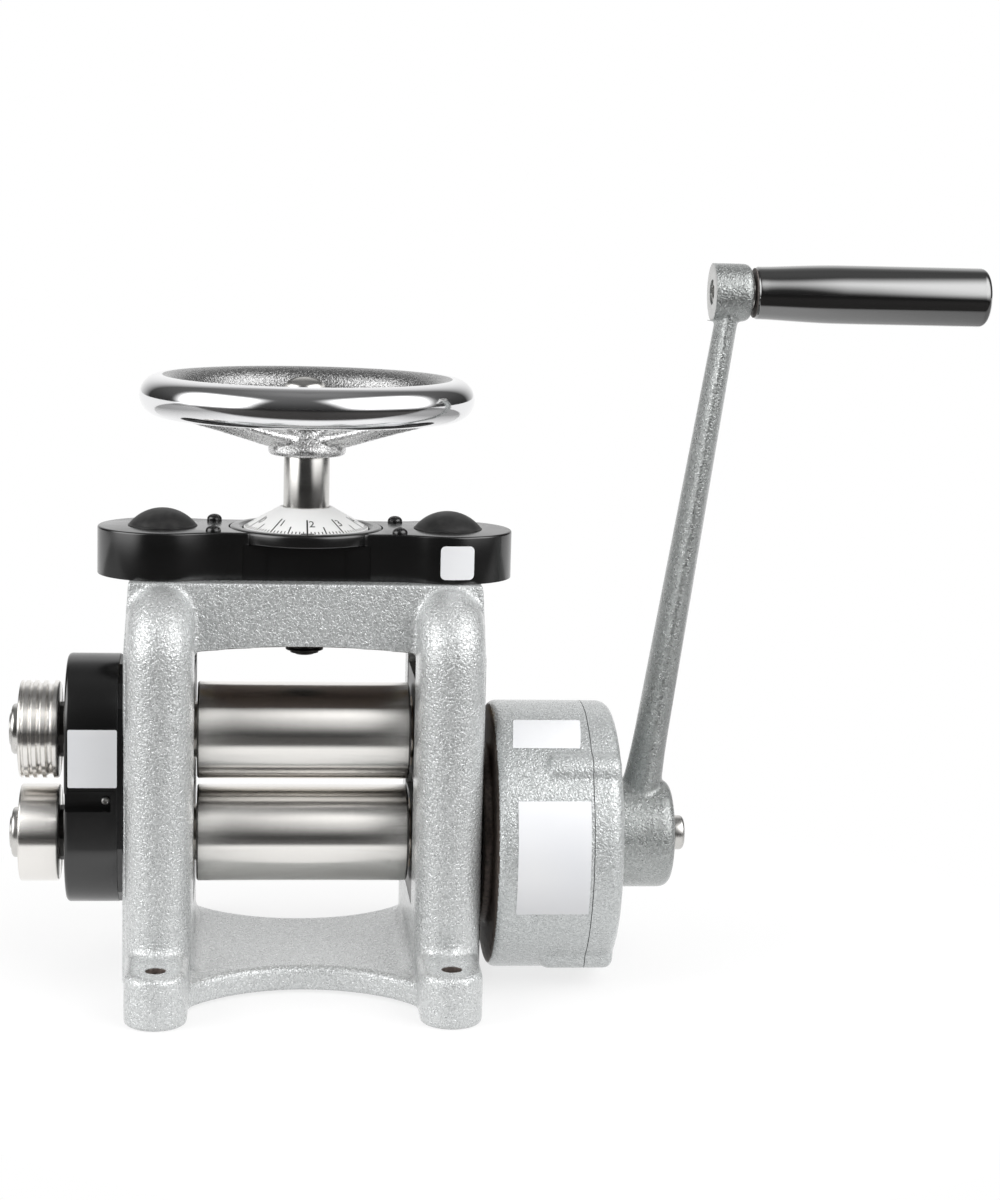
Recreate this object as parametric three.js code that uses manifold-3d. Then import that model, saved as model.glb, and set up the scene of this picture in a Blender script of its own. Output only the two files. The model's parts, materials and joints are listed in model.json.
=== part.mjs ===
// Jewellers rolling mill: a hand cranked bench machine that presses metal between two hardened rolls.
// A handwheel lowers the upper roll through spur gears and two screws, and a crank turns the rolls
// through an epicyclic gearbox. Millimetres: +X runs along the rolls to the crank, -Y is the side
// where the metal is fed in, +Z is up, and the feet stand at Z = 0.

import * as THREE from 'three';
import { mergeVertices } from 'three/addons/utils/BufferGeometryUtils.js';
import Module from 'manifold-3d';

// Rolls
const ROLL_LENGTH = 130;
const ROLL_RADIUS = 30;
const ROLL_GAP = 5;
const ROLL_OPENING_ABOVE_REST = 1;
const ROLL_EDGE = 1.2;
const ROLL_END_PLAY = 1.5;
const JOURNAL_RADIUS = 17.5;
const JOURNAL_END_INSET = 2;
const SHAFT_RADIUS = 14;
const EXTENSION_SEAT_RADIUS = 12;

// Running and assembly clearances
const CLEARANCE = 0.3;
const RUNNING_CLEARANCE = 0.4;
const HUB_CLEARANCE = 1;

// Bearing blocks, called chocks, and their slots in the frame
const CHOCK_HALF_WIDTH = 36.5;
const CHOCK_SIDE_PLAY = 0.5;
const CHOCK_CORNER = 5;
const SLOT_CORNER = 4;
const CHOCK_END_INSET = 0.5;
const CHOCK_FOOT = 37;
const CHOCK_CROWN = 38;
const CHOCK_INNER_WALL = 25;
const BUSH_WALL = 4.1;

// Return springs between the chocks
const SPRING_COIL_RADIUS = 3.8;
const SPRING_WIRE_RADIUS = 0.75;
const SPRING_CURLS = 4;
const SPRING_POCKET_DEPTH = 12;
const SPRING_POCKET_RADIUS = 5.3;
const SPRING_OFFSET = 29;

// Gearbox, which sets how high the lower roll lies above the bench
const GEARBOX_RADIUS = 83.4;
const GEARBOX_BENCH_CLEARANCE = 3.6;
const GEARBOX_WALL = 6;
const GEARBOX_END_WALL = 6;
const SPIGOT_RADIUS = 55;
const SPIGOT_LENGTH = 5.8;
const CASE_LENGTH = 58.2;
const CASE_EDGE = 5;
const GEARBOX_COVER_LENGTH = 19;
const GEARBOX_COVER_EDGE = 8;
const CASE_SHAFT_HOLE_RADIUS = 24;
const BOSS_RADIUS = 10;
const BOSS_STAND_OUT = 3.5;
const BOSS_LENGTH = 27;
const BOSS_ANGLES = [47, 157];
const BOSS_EDGE = 3.5;
const COVER_BOSS_RADIUS = 26;
const COVER_BOSS_LENGTH = 18;

// Depth of a tooth's root below the pitch circle, in modules
const ROOT_DEPTH = 1.25;

// Epicyclic gears: fixed ring, three planets on the roll's carrier, sun on the crank's shaft
const SUN_TEETH = 12;
const PLANET_TEETH = 18;
const PLANET_COUNT = 3;
const EPICYCLIC_PRESSURE_ANGLE = 25;
const GEAR_WIDTH = 23;
const CARRIER_THICKNESS = 10;
const CARRIER_RIM = 8.75;
const CARRIER_HUB_RADIUS = 22;
const CARRIER_FROM_WALL = 4;
const GEARS_FROM_CARRIER = 3;
const PLANET_PIN_RADIUS = 7;
const RING_SEAT_STEP = 4.5;
const RING_GEAR_RIM = 7.6625;
const SUN_SHAFT_STEP = 0.3625;
const CRANK_BUSH_WALL = 5;
const CRANK_BUSH_PROUD = 1;

// Frame casting
const WEB_THICKNESS = 42.5;
const FRAME_HALF_DEPTH = 43;
const FRAME_EDGE = 2;
const COLUMN_WIDTH = 40;
const COLUMN_REACH = 83;
const COLUMN_SHOULDER = 2;
const SCREW_SPACE = 17;
const BRIDGE_HEIGHT = 43;
const BRIDGE_ARCH = 3.5;
const BRIDGE_BELOW_SLOT = 1;
const TOP_TAPER = 3;
const TOP_TAPER_HEIGHT = 45;
const WINDOW_CORNER = 4;
const BASE_UNDERSIDE = 1.5;
const BASE_THICKNESS = 15.5;
const BASE_EDGE = 4;
const BASE_WAIST = 55;
const BASE_SHOULDER = 91;

// Feet
const FOOT_WIDTH = 36;
const FOOT_HEIGHT = 31.5;
const FOOT_REACH = 127;
const FOOT_EDGE = 3;
const FOOT_HOLE_INSET = 18.2;
const FOOT_HOLE_RADIUS = 6.2;

// Screw-down gears under the top cover
const SCREW_OUTSET = 0.5;
const PINION_TEETH = 10;
const IDLER_TEETH = 14;
const SCREW_GEAR_TEETH = 20;
const SPUR_PRESSURE_ANGLE = 25;
const SCREW_GEAR_THICKNESS = 8;
const IDLER_HUB_HEIGHT = 5;
const IDLER_HUB_RADIUS = 11;
const IDLER_PIN_RADIUS = 6;
const IDLER_PIN_DEPTH = 12;
const IDLER_PIN_PROUD = 0.2;

// Adjusting screws and their nuts
const SCREW_RADIUS = 12;
const SCREW_NECK_RADIUS = 9;
const SCREW_NECK_BELOW_GEAR = 2;
const SCREW_TIP_GAP = 0.1;
const NUT_WALL = 5;
const NUT_FLANGE_RADIUS = 20;
const NUT_FLANGE_HEIGHT = 4;
const NUT_TOP_INSET = 0.5;

// Handwheel and its spindle
const WHEEL_RADIUS = 101.3;
const RIM_RADIUS = 12.3;
const RIM_ABOVE_HUB_FOOT = 35.7;
const HUB_FLANGE_RADIUS = 23.6;
const HUB_FLANGE_HEIGHT = 5;
const HUB_NECK_RADIUS = 16;
const HUB_HEIGHT = 23;
const SPOKE_COUNT = 3;
const SPOKE_FIRST_ANGLE = 90;
const SPOKE_HUB_WIDTH = 25;
const SPOKE_MIDDLE_WIDTH = 20;
const SPOKE_RIM_WIDTH = 27;
const SPOKE_HUB_THICKNESS = 13;
const SPOKE_MIDDLE_THICKNESS = 9;
const SPOKE_RIM_THICKNESS = 12;
const SPINDLE_RADIUS = 14;
const SPINDLE_JOURNAL_RADIUS = 8.5;
const SPINDLE_SEAT_RADIUS = 9;
const SPINDLE_SHOWN = 31.4;
const SPINDLE_BUSH_WALL = 5;
const SPINDLE_BUSH_FLANGE = 3;
const SPINDLE_BUSH_FLANGE_RADIUS = 15.5;
const THRUST_WASHER_RADIUS = 12.2;
const THRUST_WASHER_THICKNESS = 2.5;
const SPINDLE_NUT_RADIUS = 11.4;
const SPINDLE_NUT_HEIGHT = 4.7;
const SPINDLE_TIP_LENGTH = 3.7;
const WHEEL_BOLT_RADIUS = 4;
const WHEEL_BOLT_LENGTH = 14;
const WHEEL_BOLT_HEAD_RADIUS = 11;
const WHEEL_BOLT_HEAD_HEIGHT = 6;

// Top cover, its bezel and the dial
const COVER_SCREW_GEAR_ROOM = 3.3;
const COVER_IDLER_ROOM = 4.5;
const COVER_WAIST_FILLET = 60;
const COVER_HEIGHT = 29;
const COVER_WALL = 3;
const COVER_EDGE = 1.2;
const COVER_PANEL_HALF_WIDTH = 38.5;
const COVER_PANEL_DEPTH = 0.8;
const COVER_POST_RADIUS = 4.5;
const COVER_SCREW_INSET = 5.5;
const DIAL_RADIUS = 38;
const DIAL_TOP_RADIUS = 16;
const DIAL_CONE_HEIGHT = 12.6;
const DIAL_RIM_HEIGHT = 3;
const BEZEL_GAP = 0.7;
const BEZEL_WIDTH = 8.2;
const BEZEL_HEIGHT = 8;
const BEZEL_PROUD = 0.8;
const BEZEL_FLOOR = 2;
const BEZEL_FLOOR_HOLE_RADIUS = 29.5;
const BEZEL_TOP_EDGE = 2.2;
const BEZEL_FOOT_EDGE = 1;
const BEZEL_SHELF = 1.6;
const CAP_RADIUS = 21;
const CAP_HEIGHT = 11;
const CAP_PLUG_RADIUS = 13.7;
const CAP_PLUG_DEPTH = 4;

// Synchronising gears and their side cover, at the left
const SYNC_TEETH = 12;
const SYNC_PRESSURE_ANGLE = 25;
const SYNC_WIDTH = 22;
const SYNC_FROM_WALL = 3;
const SIDE_PLATE_THICKNESS = 3;
const SIDE_COVER_RADIUS = 42.5;
const SIDE_COVER_HEADROOM = 4.5;
const SIDE_COVER_DEPTH = 32;
const SIDE_COVER_WALL = 3;
const SIDE_COVER_EDGE = 2.5;
const SIDE_COVER_RECESS_HEIGHT = 11;
const SIDE_COVER_RECESS_DEPTH = 9;
const SIDE_COVER_RECESS_LENGTH = 28;
const SIDE_COVER_RECESS_DROP = 4;
const RECESS_WALL = 1.8;

// Extension rolls at the left
const EXTENSION_GAP = 4.6;
const EXTENSION_WIDTH = 24.1;
const GROOVE_PLACES = [2.6, 7.4, 12.6, 18.7];
const GROOVE_WIDTHS = [2, 2.6, 3.4, 4.4];
const END_CAP_RADIUS = 15.5;
const END_CAP_HEIGHT = 6.5;
const END_CAP_SOCKET_RADIUS = 4.5;
const END_CAP_SOCKET_DEPTH = 3;
const END_CAP_SEAT_GAP = 0.1;

// Crank
const CRANK_LENGTH = 340;
const CRANK_HUB_RADIUS = 34;
const CRANK_HUB_LENGTH = 37;
const CRANK_HUB_GAP = 2;
const CRANK_HUB_EDGE = 4;
const CRANK_LEAN = 45.5;
const ARM_ROOT_OFFSET = -4;
const ARM_ROOT_WIDTH = 22.6;
const ARM_TIP_WIDTH = 13.6;
const ARM_ROOT_DEPTH = 36;
const ARM_TIP_DEPTH = 24;
const HANDLE_BOSS_RADIUS = 17.7;
const HANDLE_BOSS_LENGTH = 24;
const CRANK_WASHER_THICKNESS = 2.5;
const CRANK_BOLT_RADIUS = 5;
const CRANK_BOLT_LENGTH = 20;
const CRANK_BOLT_HEAD_RADIUS = 10.8;
const CRANK_BOLT_HEAD_HEIGHT = 6.5;
const CRANK_BOLT_HEAD_EDGE = 2.5;

// Grip
const GRIP_LENGTH = 146;
const GRIP_NECK_RADIUS = 16.2;
const GRIP_RADIUS = 18.1;
const GRIP_NECK_LENGTH = 56;
const GRIP_END_EDGE = 5;
const GRIP_NECK_EDGE = 2;
const GRIP_ROD_RADIUS = 6;
const GRIP_ROD_END_INSET = 12;
const GRIP_COLLAR_RADIUS = 10;
const GRIP_COLLAR_LENGTH = 1.4;
const GRIP_STUD_RADIUS = 8;
const GRIP_STUD_INSET = 2;
const SOCKET_RADIUS = 4;
const SOCKET_DEPTH = 4;

// Fineness
const LARGE_SEGMENTS = 28;
const BARREL_SEGMENTS = 20;
const ROUND_SEGMENTS = 16;
const SMALL_SEGMENTS = 12;
const PLAIN_SEGMENTS = 8;
const EDGE_STEPS = 1;
const ROUNDING_STEPS = 2;
const ARC_STEP = 22.5;

// Heights and places that follow from the sizes above
const lowerHeight = GEARBOX_RADIUS + GEARBOX_BENCH_CLEARANCE;
const upperHeight = lowerHeight + 2 * ROLL_RADIUS + ROLL_GAP;
const slotBottom = lowerHeight - CHOCK_FOOT;
const slotTop = upperHeight + CHOCK_CROWN + SCREW_SPACE;
const bridgeUnderside = slotTop + BRIDGE_BELOW_SLOT;
const frameTop = slotTop + BRIDGE_HEIGHT;
const baseTop = BASE_UNDERSIDE + BASE_THICKNESS;
const innerFace = ROLL_LENGTH / 2 + ROLL_END_PLAY;
const outerFace = innerFace + WEB_THICKNESS;
const columnX = innerFace + COLUMN_WIDTH / 2;
const coverTop = frameTop + COVER_HEIGHT;
const bezelFoot = coverTop + BEZEL_PROUD - BEZEL_HEIGHT;
const dialTop = coverTop + DIAL_CONE_HEIGHT;
const wheelFoot = dialTop + SPINDLE_SHOWN;
const rimHeight = wheelFoot + RIM_ABOVE_HUB_FOOT;
const screwX = columnX + SCREW_OUTSET;
const screwGearModule = 2 * screwX / (PINION_TEETH + 2 * IDLER_TEETH + SCREW_GEAR_TEETH);
const idlerX = (PINION_TEETH + IDLER_TEETH) * screwGearModule / 2;
const coverLobeRadius = (SCREW_GEAR_TEETH / 2 + 1) * screwGearModule + COVER_SCREW_GEAR_ROOM + COVER_WALL;
const coverWaist = (IDLER_TEETH / 2 + 1) * screwGearModule + COVER_IDLER_ROOM + COVER_WALL;
const coverScrewX = (idlerX + screwX) / 2 - COVER_SCREW_INSET;
const coverScrewY = coverWaist - COVER_POST_RADIUS;
const travel = ROLL_GAP + ROLL_OPENING_ABOVE_REST;
const idlerFoot = frameTop + IDLER_HUB_HEIGHT + CLEARANCE;
const idlerTop = idlerFoot + SCREW_GEAR_THICKNESS + travel;
const screwGearFoot = idlerFoot + ROLL_GAP;
const sidePlateX = -outerFace - SIDE_PLATE_THICKNESS;
const sideCoverX = sidePlateX - SIDE_COVER_DEPTH;
const extensionRight = sideCoverX - EXTENSION_GAP;
const extensionLeft = extensionRight - EXTENSION_WIDTH;
const capFace = extensionLeft - END_CAP_SEAT_GAP - END_CAP_HEIGHT;
const caseLeft = outerFace + SPIGOT_LENGTH;
const caseRight = caseLeft + CASE_LENGTH;
const gearboxRight = caseRight + GEARBOX_COVER_LENGTH;
const carrierLeft = caseLeft + GEARBOX_END_WALL + CARRIER_FROM_WALL;
const carrierRight = carrierLeft + CARRIER_THICKNESS;
const planetsLeft = carrierRight + GEARS_FROM_CARRIER;
const planetsRight = planetsLeft + GEAR_WIDTH;
const crankHubLeft = gearboxRight + CRANK_HUB_GAP;
const crankHubRight = crankHubLeft + CRANK_HUB_LENGTH;
const handleBossX = crankHubLeft + CRANK_HUB_LENGTH / 2 + CRANK_LEAN;
const handleHeight = lowerHeight + CRANK_LENGTH;
const gripLeft = handleBossX + HANDLE_BOSS_LENGTH / 2 + GRIP_COLLAR_LENGTH + 2 * CLEARANCE;
const gripRight = gripLeft + GRIP_LENGTH;
const ringTeeth = SUN_TEETH + 2 * PLANET_TEETH;
const cavityRadius = GEARBOX_RADIUS - GEARBOX_WALL;
const epicyclicModule = 2 * (cavityRadius - CLEARANCE - RING_GEAR_RIM) / (ringTeeth + 2 * ROOT_DEPTH);
const planetOrbit = (SUN_TEETH + PLANET_TEETH) * epicyclicModule / 2;
const carrierRadius = planetOrbit + PLANET_PIN_RADIUS + CARRIER_RIM;
const crankShaftRadius = (SUN_TEETH / 2 - ROOT_DEPTH) * epicyclicModule - SUN_SHAFT_STEP;

const wasm = await Module();
wasm.setup();

const X_AXIS = new THREE.Matrix4().makeBasis(
  new THREE.Vector3(0, 1, 0), new THREE.Vector3(0, 0, 1), new THREE.Vector3(1, 0, 0));
const Y_AXIS = new THREE.Matrix4().makeBasis(
  new THREE.Vector3(1, 0, 0), new THREE.Vector3(0, 0, 1), new THREE.Vector3(0, -1, 0));
const TURN_TO_Z = new THREE.Matrix4().makeRotationX(Math.PI / 2);
const radians = THREE.MathUtils.degToRad;

// Solids from geometry, and geometry from solids

function solid(geometry, ...matrices) {
  const bare = geometry.clone();
  for (const name of Object.keys(bare.attributes)) {
    if (name !== 'position') bare.deleteAttribute(name);
  }
  for (const matrix of matrices) bare.applyMatrix4(matrix);
  const merged = mergeVertices(bare, 1e-4);
  const place = merged.attributes.position;
  const corner = (i) => new THREE.Vector3().fromBufferAttribute(place, i);
  const triangles = [];
  let volume = 0;
  for (let i = 0; i < merged.index.count; i += 3) {
    const [a, b, c] = [0, 1, 2].map((k) => merged.index.getX(i + k));
    if (a === b || b === c || c === a) continue;
    volume += corner(a).dot(corner(b).cross(corner(c)));
    triangles.push([a, b, c]);
  }
  const faces = volume < 0 ? triangles.map(([a, b, c]) => [a, c, b]) : triangles;
  return new wasm.Manifold(new wasm.Mesh({
    numProp: 3,
    vertProperties: Float32Array.from(place.array),
    triVerts: Uint32Array.from(faces.flat()),
  }));
}

function geometryOf(body) {
  const { vertProperties, triVerts } = body.getMesh();
  const geometry = new THREE.BufferGeometry();
  geometry.setAttribute('position', new THREE.BufferAttribute(Float32Array.from(vertProperties), 3));
  geometry.setIndex(new THREE.BufferAttribute(Uint32Array.from(triVerts), 1));
  geometry.computeVertexNormals();
  return geometry;
}

const join = (...bodies) => bodies.reduce((whole, body) => whole.add(body));
const cut = (whole, ...tools) => tools.reduce((left, tool) => left.subtract(tool), whole);
const shift = (x, y, z) => new THREE.Matrix4().makeTranslation(x, y, z);

// A profile of [radius, height] pairs turned about Z or X. A profile that never touches the axis
// closes on itself, so it makes a ring.
function turned(profile, axis = 'z', segments = ROUND_SEGMENTS, ...matrices) {
  const points = profile.map(([r, h]) => new THREE.Vector2(r, h));
  const onAxis = profile[0][0] === 0 && profile[profile.length - 1][0] === 0;
  if (!onAxis) points.push(points[0].clone());
  const geometry = new THREE.LatheGeometry(points, segments);
  const orient = axis === 'z' ? [TURN_TO_Z] : [TURN_TO_Z, X_AXIS];
  return solid(geometry, ...orient, ...matrices);
}

const rod = (radius, from, to, axis, segments, ...matrices) =>
  turned([[0, from], [radius, from], [radius, to], [0, to]], axis, segments, ...matrices);

const sleeve = (inner, outer, from, to, axis, segments, ...matrices) =>
  turned([[inner, from], [outer, from], [outer, to], [inner, to]], axis, segments, ...matrices);

// A shape pushed along an axis, with rounded end edges where edge is given
function pushed(shape, from, to, axis = 'z', edge = 0, ...matrices) {
  const geometry = new THREE.ExtrudeGeometry(shape, {
    depth: to - from - 2 * edge,
    bevelEnabled: edge > 0,
    bevelThickness: edge,
    bevelSize: edge,
    bevelOffset: -edge,
    bevelSegments: EDGE_STEPS,
  });
  const orient = { x: X_AXIS, y: Y_AXIS, z: new THREE.Matrix4() }[axis];
  return solid(geometry, shift(0, 0, from + edge), orient, ...matrices);
}

// Rings of points joined into one closed skin, with a flat cap at each end
function lofted(rings, ...matrices) {
  const count = rings[0].length;
  const places = rings.flat().flatMap((p) => [p.x, p.y, p.z]);
  const index = [];
  for (let i = 0; i + 1 < rings.length; i += 1) {
    for (let k = 0; k < count; k += 1) {
      const a = i * count + k;
      const b = i * count + (k + 1) % count;
      index.push(a, b, a + count, b, b + count, a + count);
    }
  }
  const last = (rings.length - 1) * count;
  for (let k = 1; k + 1 < count; k += 1) {
    index.push(0, k + 1, k, last, last + k, last + k + 1);
  }
  const geometry = new THREE.BufferGeometry();
  geometry.setAttribute('position', new THREE.Float32BufferAttribute(places, 3));
  geometry.setIndex(index);
  return solid(geometry, ...matrices);
}

// Points along an arc, its angles in degrees
function arc(x, y, radius, from, to, step = ARC_STEP) {
  const steps = Math.max(1, Math.ceil(Math.abs(to - from) / step - 1e-6));
  return Array.from({ length: steps + 1 }, (_, k) => {
    const angle = radians(from + (to - from) * k / steps);
    return new THREE.Vector2(x + radius * Math.cos(angle), y + radius * Math.sin(angle));
  });
}

const roundedBox = (left, bottom, right, top, radius) => new THREE.Shape([
  ...arc(right - radius, bottom + radius, radius, -90, 0, 2.5 * ARC_STEP),
  ...arc(right - radius, top - radius, radius, 0, 90, 2.5 * ARC_STEP),
  ...arc(left + radius, top - radius, radius, 90, 180, 2.5 * ARC_STEP),
  ...arc(left + radius, bottom + radius, radius, 180, 270, 2.5 * ARC_STEP),
]);

// Upright obround between two centre heights
const obround = (radius, low, high) => new THREE.Shape([
  ...arc(0, high, radius, 0, 180), ...arc(0, low, radius, 180, 360),
]);

function polygon(radius, sides, turn = 0) {
  const corners = Array.from({ length: sides }, (_, k) => {
    const angle = turn + 2 * Math.PI * k / sides;
    return new THREE.Vector2(radius * Math.cos(angle), radius * Math.sin(angle));
  });
  return new THREE.Shape(corners);
}

// Quarter-round edge of a turned profile, from its start angle to its end angle in degrees
function rounding(centreRadius, centreHeight, radius, start, end, steps = ROUNDING_STEPS) {
  return Array.from({ length: steps + 1 }, (_, k) => {
    const angle = radians(start + (end - start) * k / steps);
    return [centreRadius + radius * Math.cos(angle), centreHeight + radius * Math.sin(angle)];
  });
}

// Involute gear outline. A positive thinning narrows the teeth for backlash, and a negative one
// widens them, as the tooth spaces of an internal gear need.
function gearShape({ teeth, module, pressure, addendum = 1, dedendum = ROOT_DEPTH, thinning, phase,
  flankSteps = 2 }) {
  const pitch = teeth * module / 2;
  const base = pitch * Math.cos(radians(pressure));
  const root = pitch - dedendum * module;
  const tip = pitch + addendum * module;
  const involute = (angle) => Math.tan(angle) - angle;
  const halfAngle = (radius) => {
    const beyond = Math.acos(Math.min(1, base / Math.max(radius, base)));
    return (Math.PI / 2 - thinning / module) / teeth + involute(radians(pressure)) - involute(beyond);
  };
  const radii = flankSteps > 1 ? [root, Math.max(base, pitch), tip] : [root, tip];
  const points = [];
  for (let k = 0; k < teeth; k += 1) {
    const centre = phase + 2 * Math.PI * k / teeth;
    const place = (r, side) => {
      const angle = centre + side * halfAngle(r);
      return new THREE.Vector2(r * Math.cos(angle), r * Math.sin(angle));
    };
    points.push(...radii.map((r) => place(r, -1)), ...radii.toReversed().map((r) => place(r, 1)));
  }
  return new THREE.Shape(points);
}

// Turn of a gear that meshes with another: towards is the direction from the first gear to it
function meshPhase(towards, firstPhase, firstTeeth, teeth) {
  const firstOffset = (towards - firstPhase) * firstTeeth / (2 * Math.PI);
  return towards + Math.PI - 2 * Math.PI * (0.5 - firstOffset) / teeth;
}

// Materials, one new one for each piece

const finish = (color, roughness, metalness) => () => new THREE.MeshStandardMaterial({
  color, roughness, metalness, flatShading: true,
});
const hammeredPaint = finish(0xb4b8b8, 0.42, 0.35);
const groundSteel = finish(0xc9c7c2, 0.18, 1);
const turnedSteel = finish(0xa9a7a2, 0.28, 1);
const darkSteel = finish(0x2b2a29, 0.45, 0.8);
const chrome = finish(0xd8d8da, 0.08, 1);
const bronze = finish(0xa9803f, 0.35, 1);
const blackPlastic = finish(0x0e0e0f, 0.38, 0);
const rubber = finish(0x151515, 0.62, 0);
const whitePlastic = finish(0xf2f2f0, 0.4, 0);
const blackGloss = finish(0x060606, 0.1, 0);

function piece(name, body, material, parent, x = 0, y = 0, z = 0) {
  const mesh = new THREE.Mesh(geometryOf(body), material());
  mesh.name = name;
  mesh.position.set(x, y, z);
  parent.add(mesh);
  return mesh;
}

function assembly(parent, x = 0, y = 0, z = 0) {
  const group = new THREE.Group();
  group.position.set(x, y, z);
  parent.add(group);
  return group;
}

const mill = new THREE.Group();
mill.position.x = -(capFace + gripRight) / 2;
const SIDES = [['left', -1], ['right', 1]];

// Frame casting: two side webs and a bridge in one, four half-round columns with domed tops, an
// hourglass base plate and four feet

function frontProfile() {
  const taperFoot = frameTop - TOP_TAPER_HEIGHT;
  const outline = new THREE.Shape([
    new THREE.Vector2(-outerFace, BASE_UNDERSIDE),
    new THREE.Vector2(outerFace, BASE_UNDERSIDE),
    new THREE.Vector2(outerFace, taperFoot),
    new THREE.Vector2(outerFace - TOP_TAPER, frameTop),
    new THREE.Vector2(-outerFace + TOP_TAPER, frameTop),
    new THREE.Vector2(-outerFace, taperFoot),
  ]);
  const reach = innerFace - WINDOW_CORNER;
  const cornerZ = bridgeUnderside - WINDOW_CORNER;
  const archSteps = 6;
  const arch = Array.from({ length: archSteps - 1 }, (_, k) => {
    const x = reach * (2 * (k + 1) / archSteps - 1);
    return new THREE.Vector2(x, bridgeUnderside + BRIDGE_ARCH * (1 - (x / reach) ** 2));
  });
  outline.holes.push(new THREE.Path([
    new THREE.Vector2(innerFace, baseTop - BASE_EDGE),
    new THREE.Vector2(-innerFace, baseTop - BASE_EDGE),
    ...arc(-reach, cornerZ, WINDOW_CORNER, 180, 90, 2 * ARC_STEP), ...arch,
    ...arc(reach, cornerZ, WINDOW_CORNER, 90, 0, 2 * ARC_STEP),
  ]));
  return outline;
}

// The column's section is a D: flat sides from the web, then a half-round front. Distances are
// measured from the axis about which the column's top bends back into the frame.
function columnRings() {
  const half = COLUMN_WIDTH / 2;
  const bendY = FRAME_HALF_DEPTH - COLUMN_SHOULDER - 1;
  const reach = COLUMN_REACH - bendY;
  const bendZ = frameTop - COLUMN_SHOULDER - reach;
  const arcSteps = 8;
  const section = [[-half, 1]];
  for (let k = 0; k <= arcSteps; k += 1) {
    const angle = Math.PI * k / arcSteps;
    section.push([-half * Math.cos(angle), reach - half + half * Math.sin(angle)]);
  }
  section.push([half, 1]);
  const ring = (angle, z) => section.map(([x, out]) => new THREE.Vector3(
    x, -bendY - out * Math.cos(angle), z + out * Math.sin(angle)));
  const bendSteps = 4;
  const bend = Array.from({ length: bendSteps + 1 }, (_, k) => Math.PI / 2 * k / bendSteps);
  return [ring(0, BASE_UNDERSIDE), ...bend.map((angle) => ring(angle, bendZ))];
}

function footShape() {
  const half = FOOT_WIDTH / 2;
  return new THREE.Shape([
    new THREE.Vector2(half, -COLUMN_REACH + half), new THREE.Vector2(-half, -COLUMN_REACH + half),
    ...arc(0, -FOOT_REACH + half, half, 180, 360),
  ]);
}

function baseShape() {
  const inner = columnX - FOOT_WIDTH / 2;
  const drop = BASE_SHOULDER - BASE_WAIST;
  const radius = (inner * inner + drop * drop) / (2 * drop);
  const sweep = THREE.MathUtils.radToDeg(Math.asin(inner / radius));
  const outer = columnX + FOOT_WIDTH / 4;
  return new THREE.Shape([
    new THREE.Vector2(-outer, -BASE_SHOULDER),
    ...arc(0, -BASE_WAIST - radius, radius, 90 + sweep, 90 - sweep, ARC_STEP / 2),
    new THREE.Vector2(outer, -BASE_SHOULDER),
    new THREE.Vector2(outer, BASE_SHOULDER),
    ...arc(0, BASE_WAIST + radius, radius, sweep - 90, -sweep - 90, ARC_STEP / 2),
    new THREE.Vector2(-outer, BASE_SHOULDER),
  ]);
}

const rearTurn = new THREE.Matrix4().makeRotationZ(Math.PI);
const column = lofted(columnRings());
const foot = pushed(footShape(), 0, FOOT_HEIGHT, 'z', FOOT_EDGE);
const footHole = rod(FOOT_HOLE_RADIUS, -1, FOOT_HEIGHT + 1, 'z', SMALL_SEGMENTS,
  shift(0, FOOT_HOLE_INSET - FOOT_REACH, 0));
const frontCorner = cut(join(column, foot), footHole);
const rearCorner = frontCorner.transform(rearTurn.elements);
const corners = SIDES.flatMap(([, side]) => [frontCorner, rearCorner].map(
  (corner) => corner.translate([side * columnX, 0, 0])));

const slotHalfWidth = CHOCK_HALF_WIDTH + CHOCK_SIDE_PLAY;
const slotShape = roundedBox(-slotHalfWidth, slotBottom, slotHalfWidth, slotTop, SLOT_CORNER);
const slots = SIDES.map(([, side]) => pushed(slotShape, side * (innerFace + outerFace) / 2
  - WEB_THICKNESS / 2 - ROLL_END_PLAY, side * (innerFace + outerFace) / 2
  + WEB_THICKNESS / 2 + ROLL_END_PLAY, 'x'));
const nutRadius = SCREW_RADIUS + CLEARANCE + NUT_WALL;
const nutHoles = SIDES.map(([, side]) => rod(nutRadius + CLEARANCE, slotTop - 1, frameTop + 1, 'z',
  ROUND_SEGMENTS, shift(side * screwX, 0, 0)));
const idlerPinHoles = SIDES.map(([, side]) => rod(IDLER_PIN_RADIUS + CLEARANCE,
  frameTop - IDLER_PIN_DEPTH - CLEARANCE, frameTop + 1, 'z', SMALL_SEGMENTS, shift(side * idlerX, 0, 0)));
const spindleBushRadius = SPINDLE_JOURNAL_RADIUS + CLEARANCE + SPINDLE_BUSH_WALL;
const spindleBushHole = rod(spindleBushRadius + CLEARANCE, bridgeUnderside - 1, frameTop + 1, 'z',
  ROUND_SEGMENTS);

const frame = assembly(mill);
const frameWeb = pushed(frontProfile(), -FRAME_HALF_DEPTH, FRAME_HALF_DEPTH, 'y', FRAME_EDGE);
const basePlate = pushed(baseShape(), BASE_UNDERSIDE, baseTop, 'z', BASE_EDGE);
piece('frame_casting', cut(join(frameWeb, basePlate, ...corners),
  ...slots, ...nutHoles, ...idlerPinHoles, spindleBushHole), hammeredPaint, frame);

// Lower chocks, fixed in the slots, and upper chocks, which slide in them

const bushInner = JOURNAL_RADIUS + RUNNING_CLEARANCE;
const bushOuter = bushInner + BUSH_WALL;
const chockLeft = innerFace + CLEARANCE;
const chockRight = outerFace - CHOCK_END_INSET;
const chockMiddle = (chockLeft + chockRight) / 2;

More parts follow.
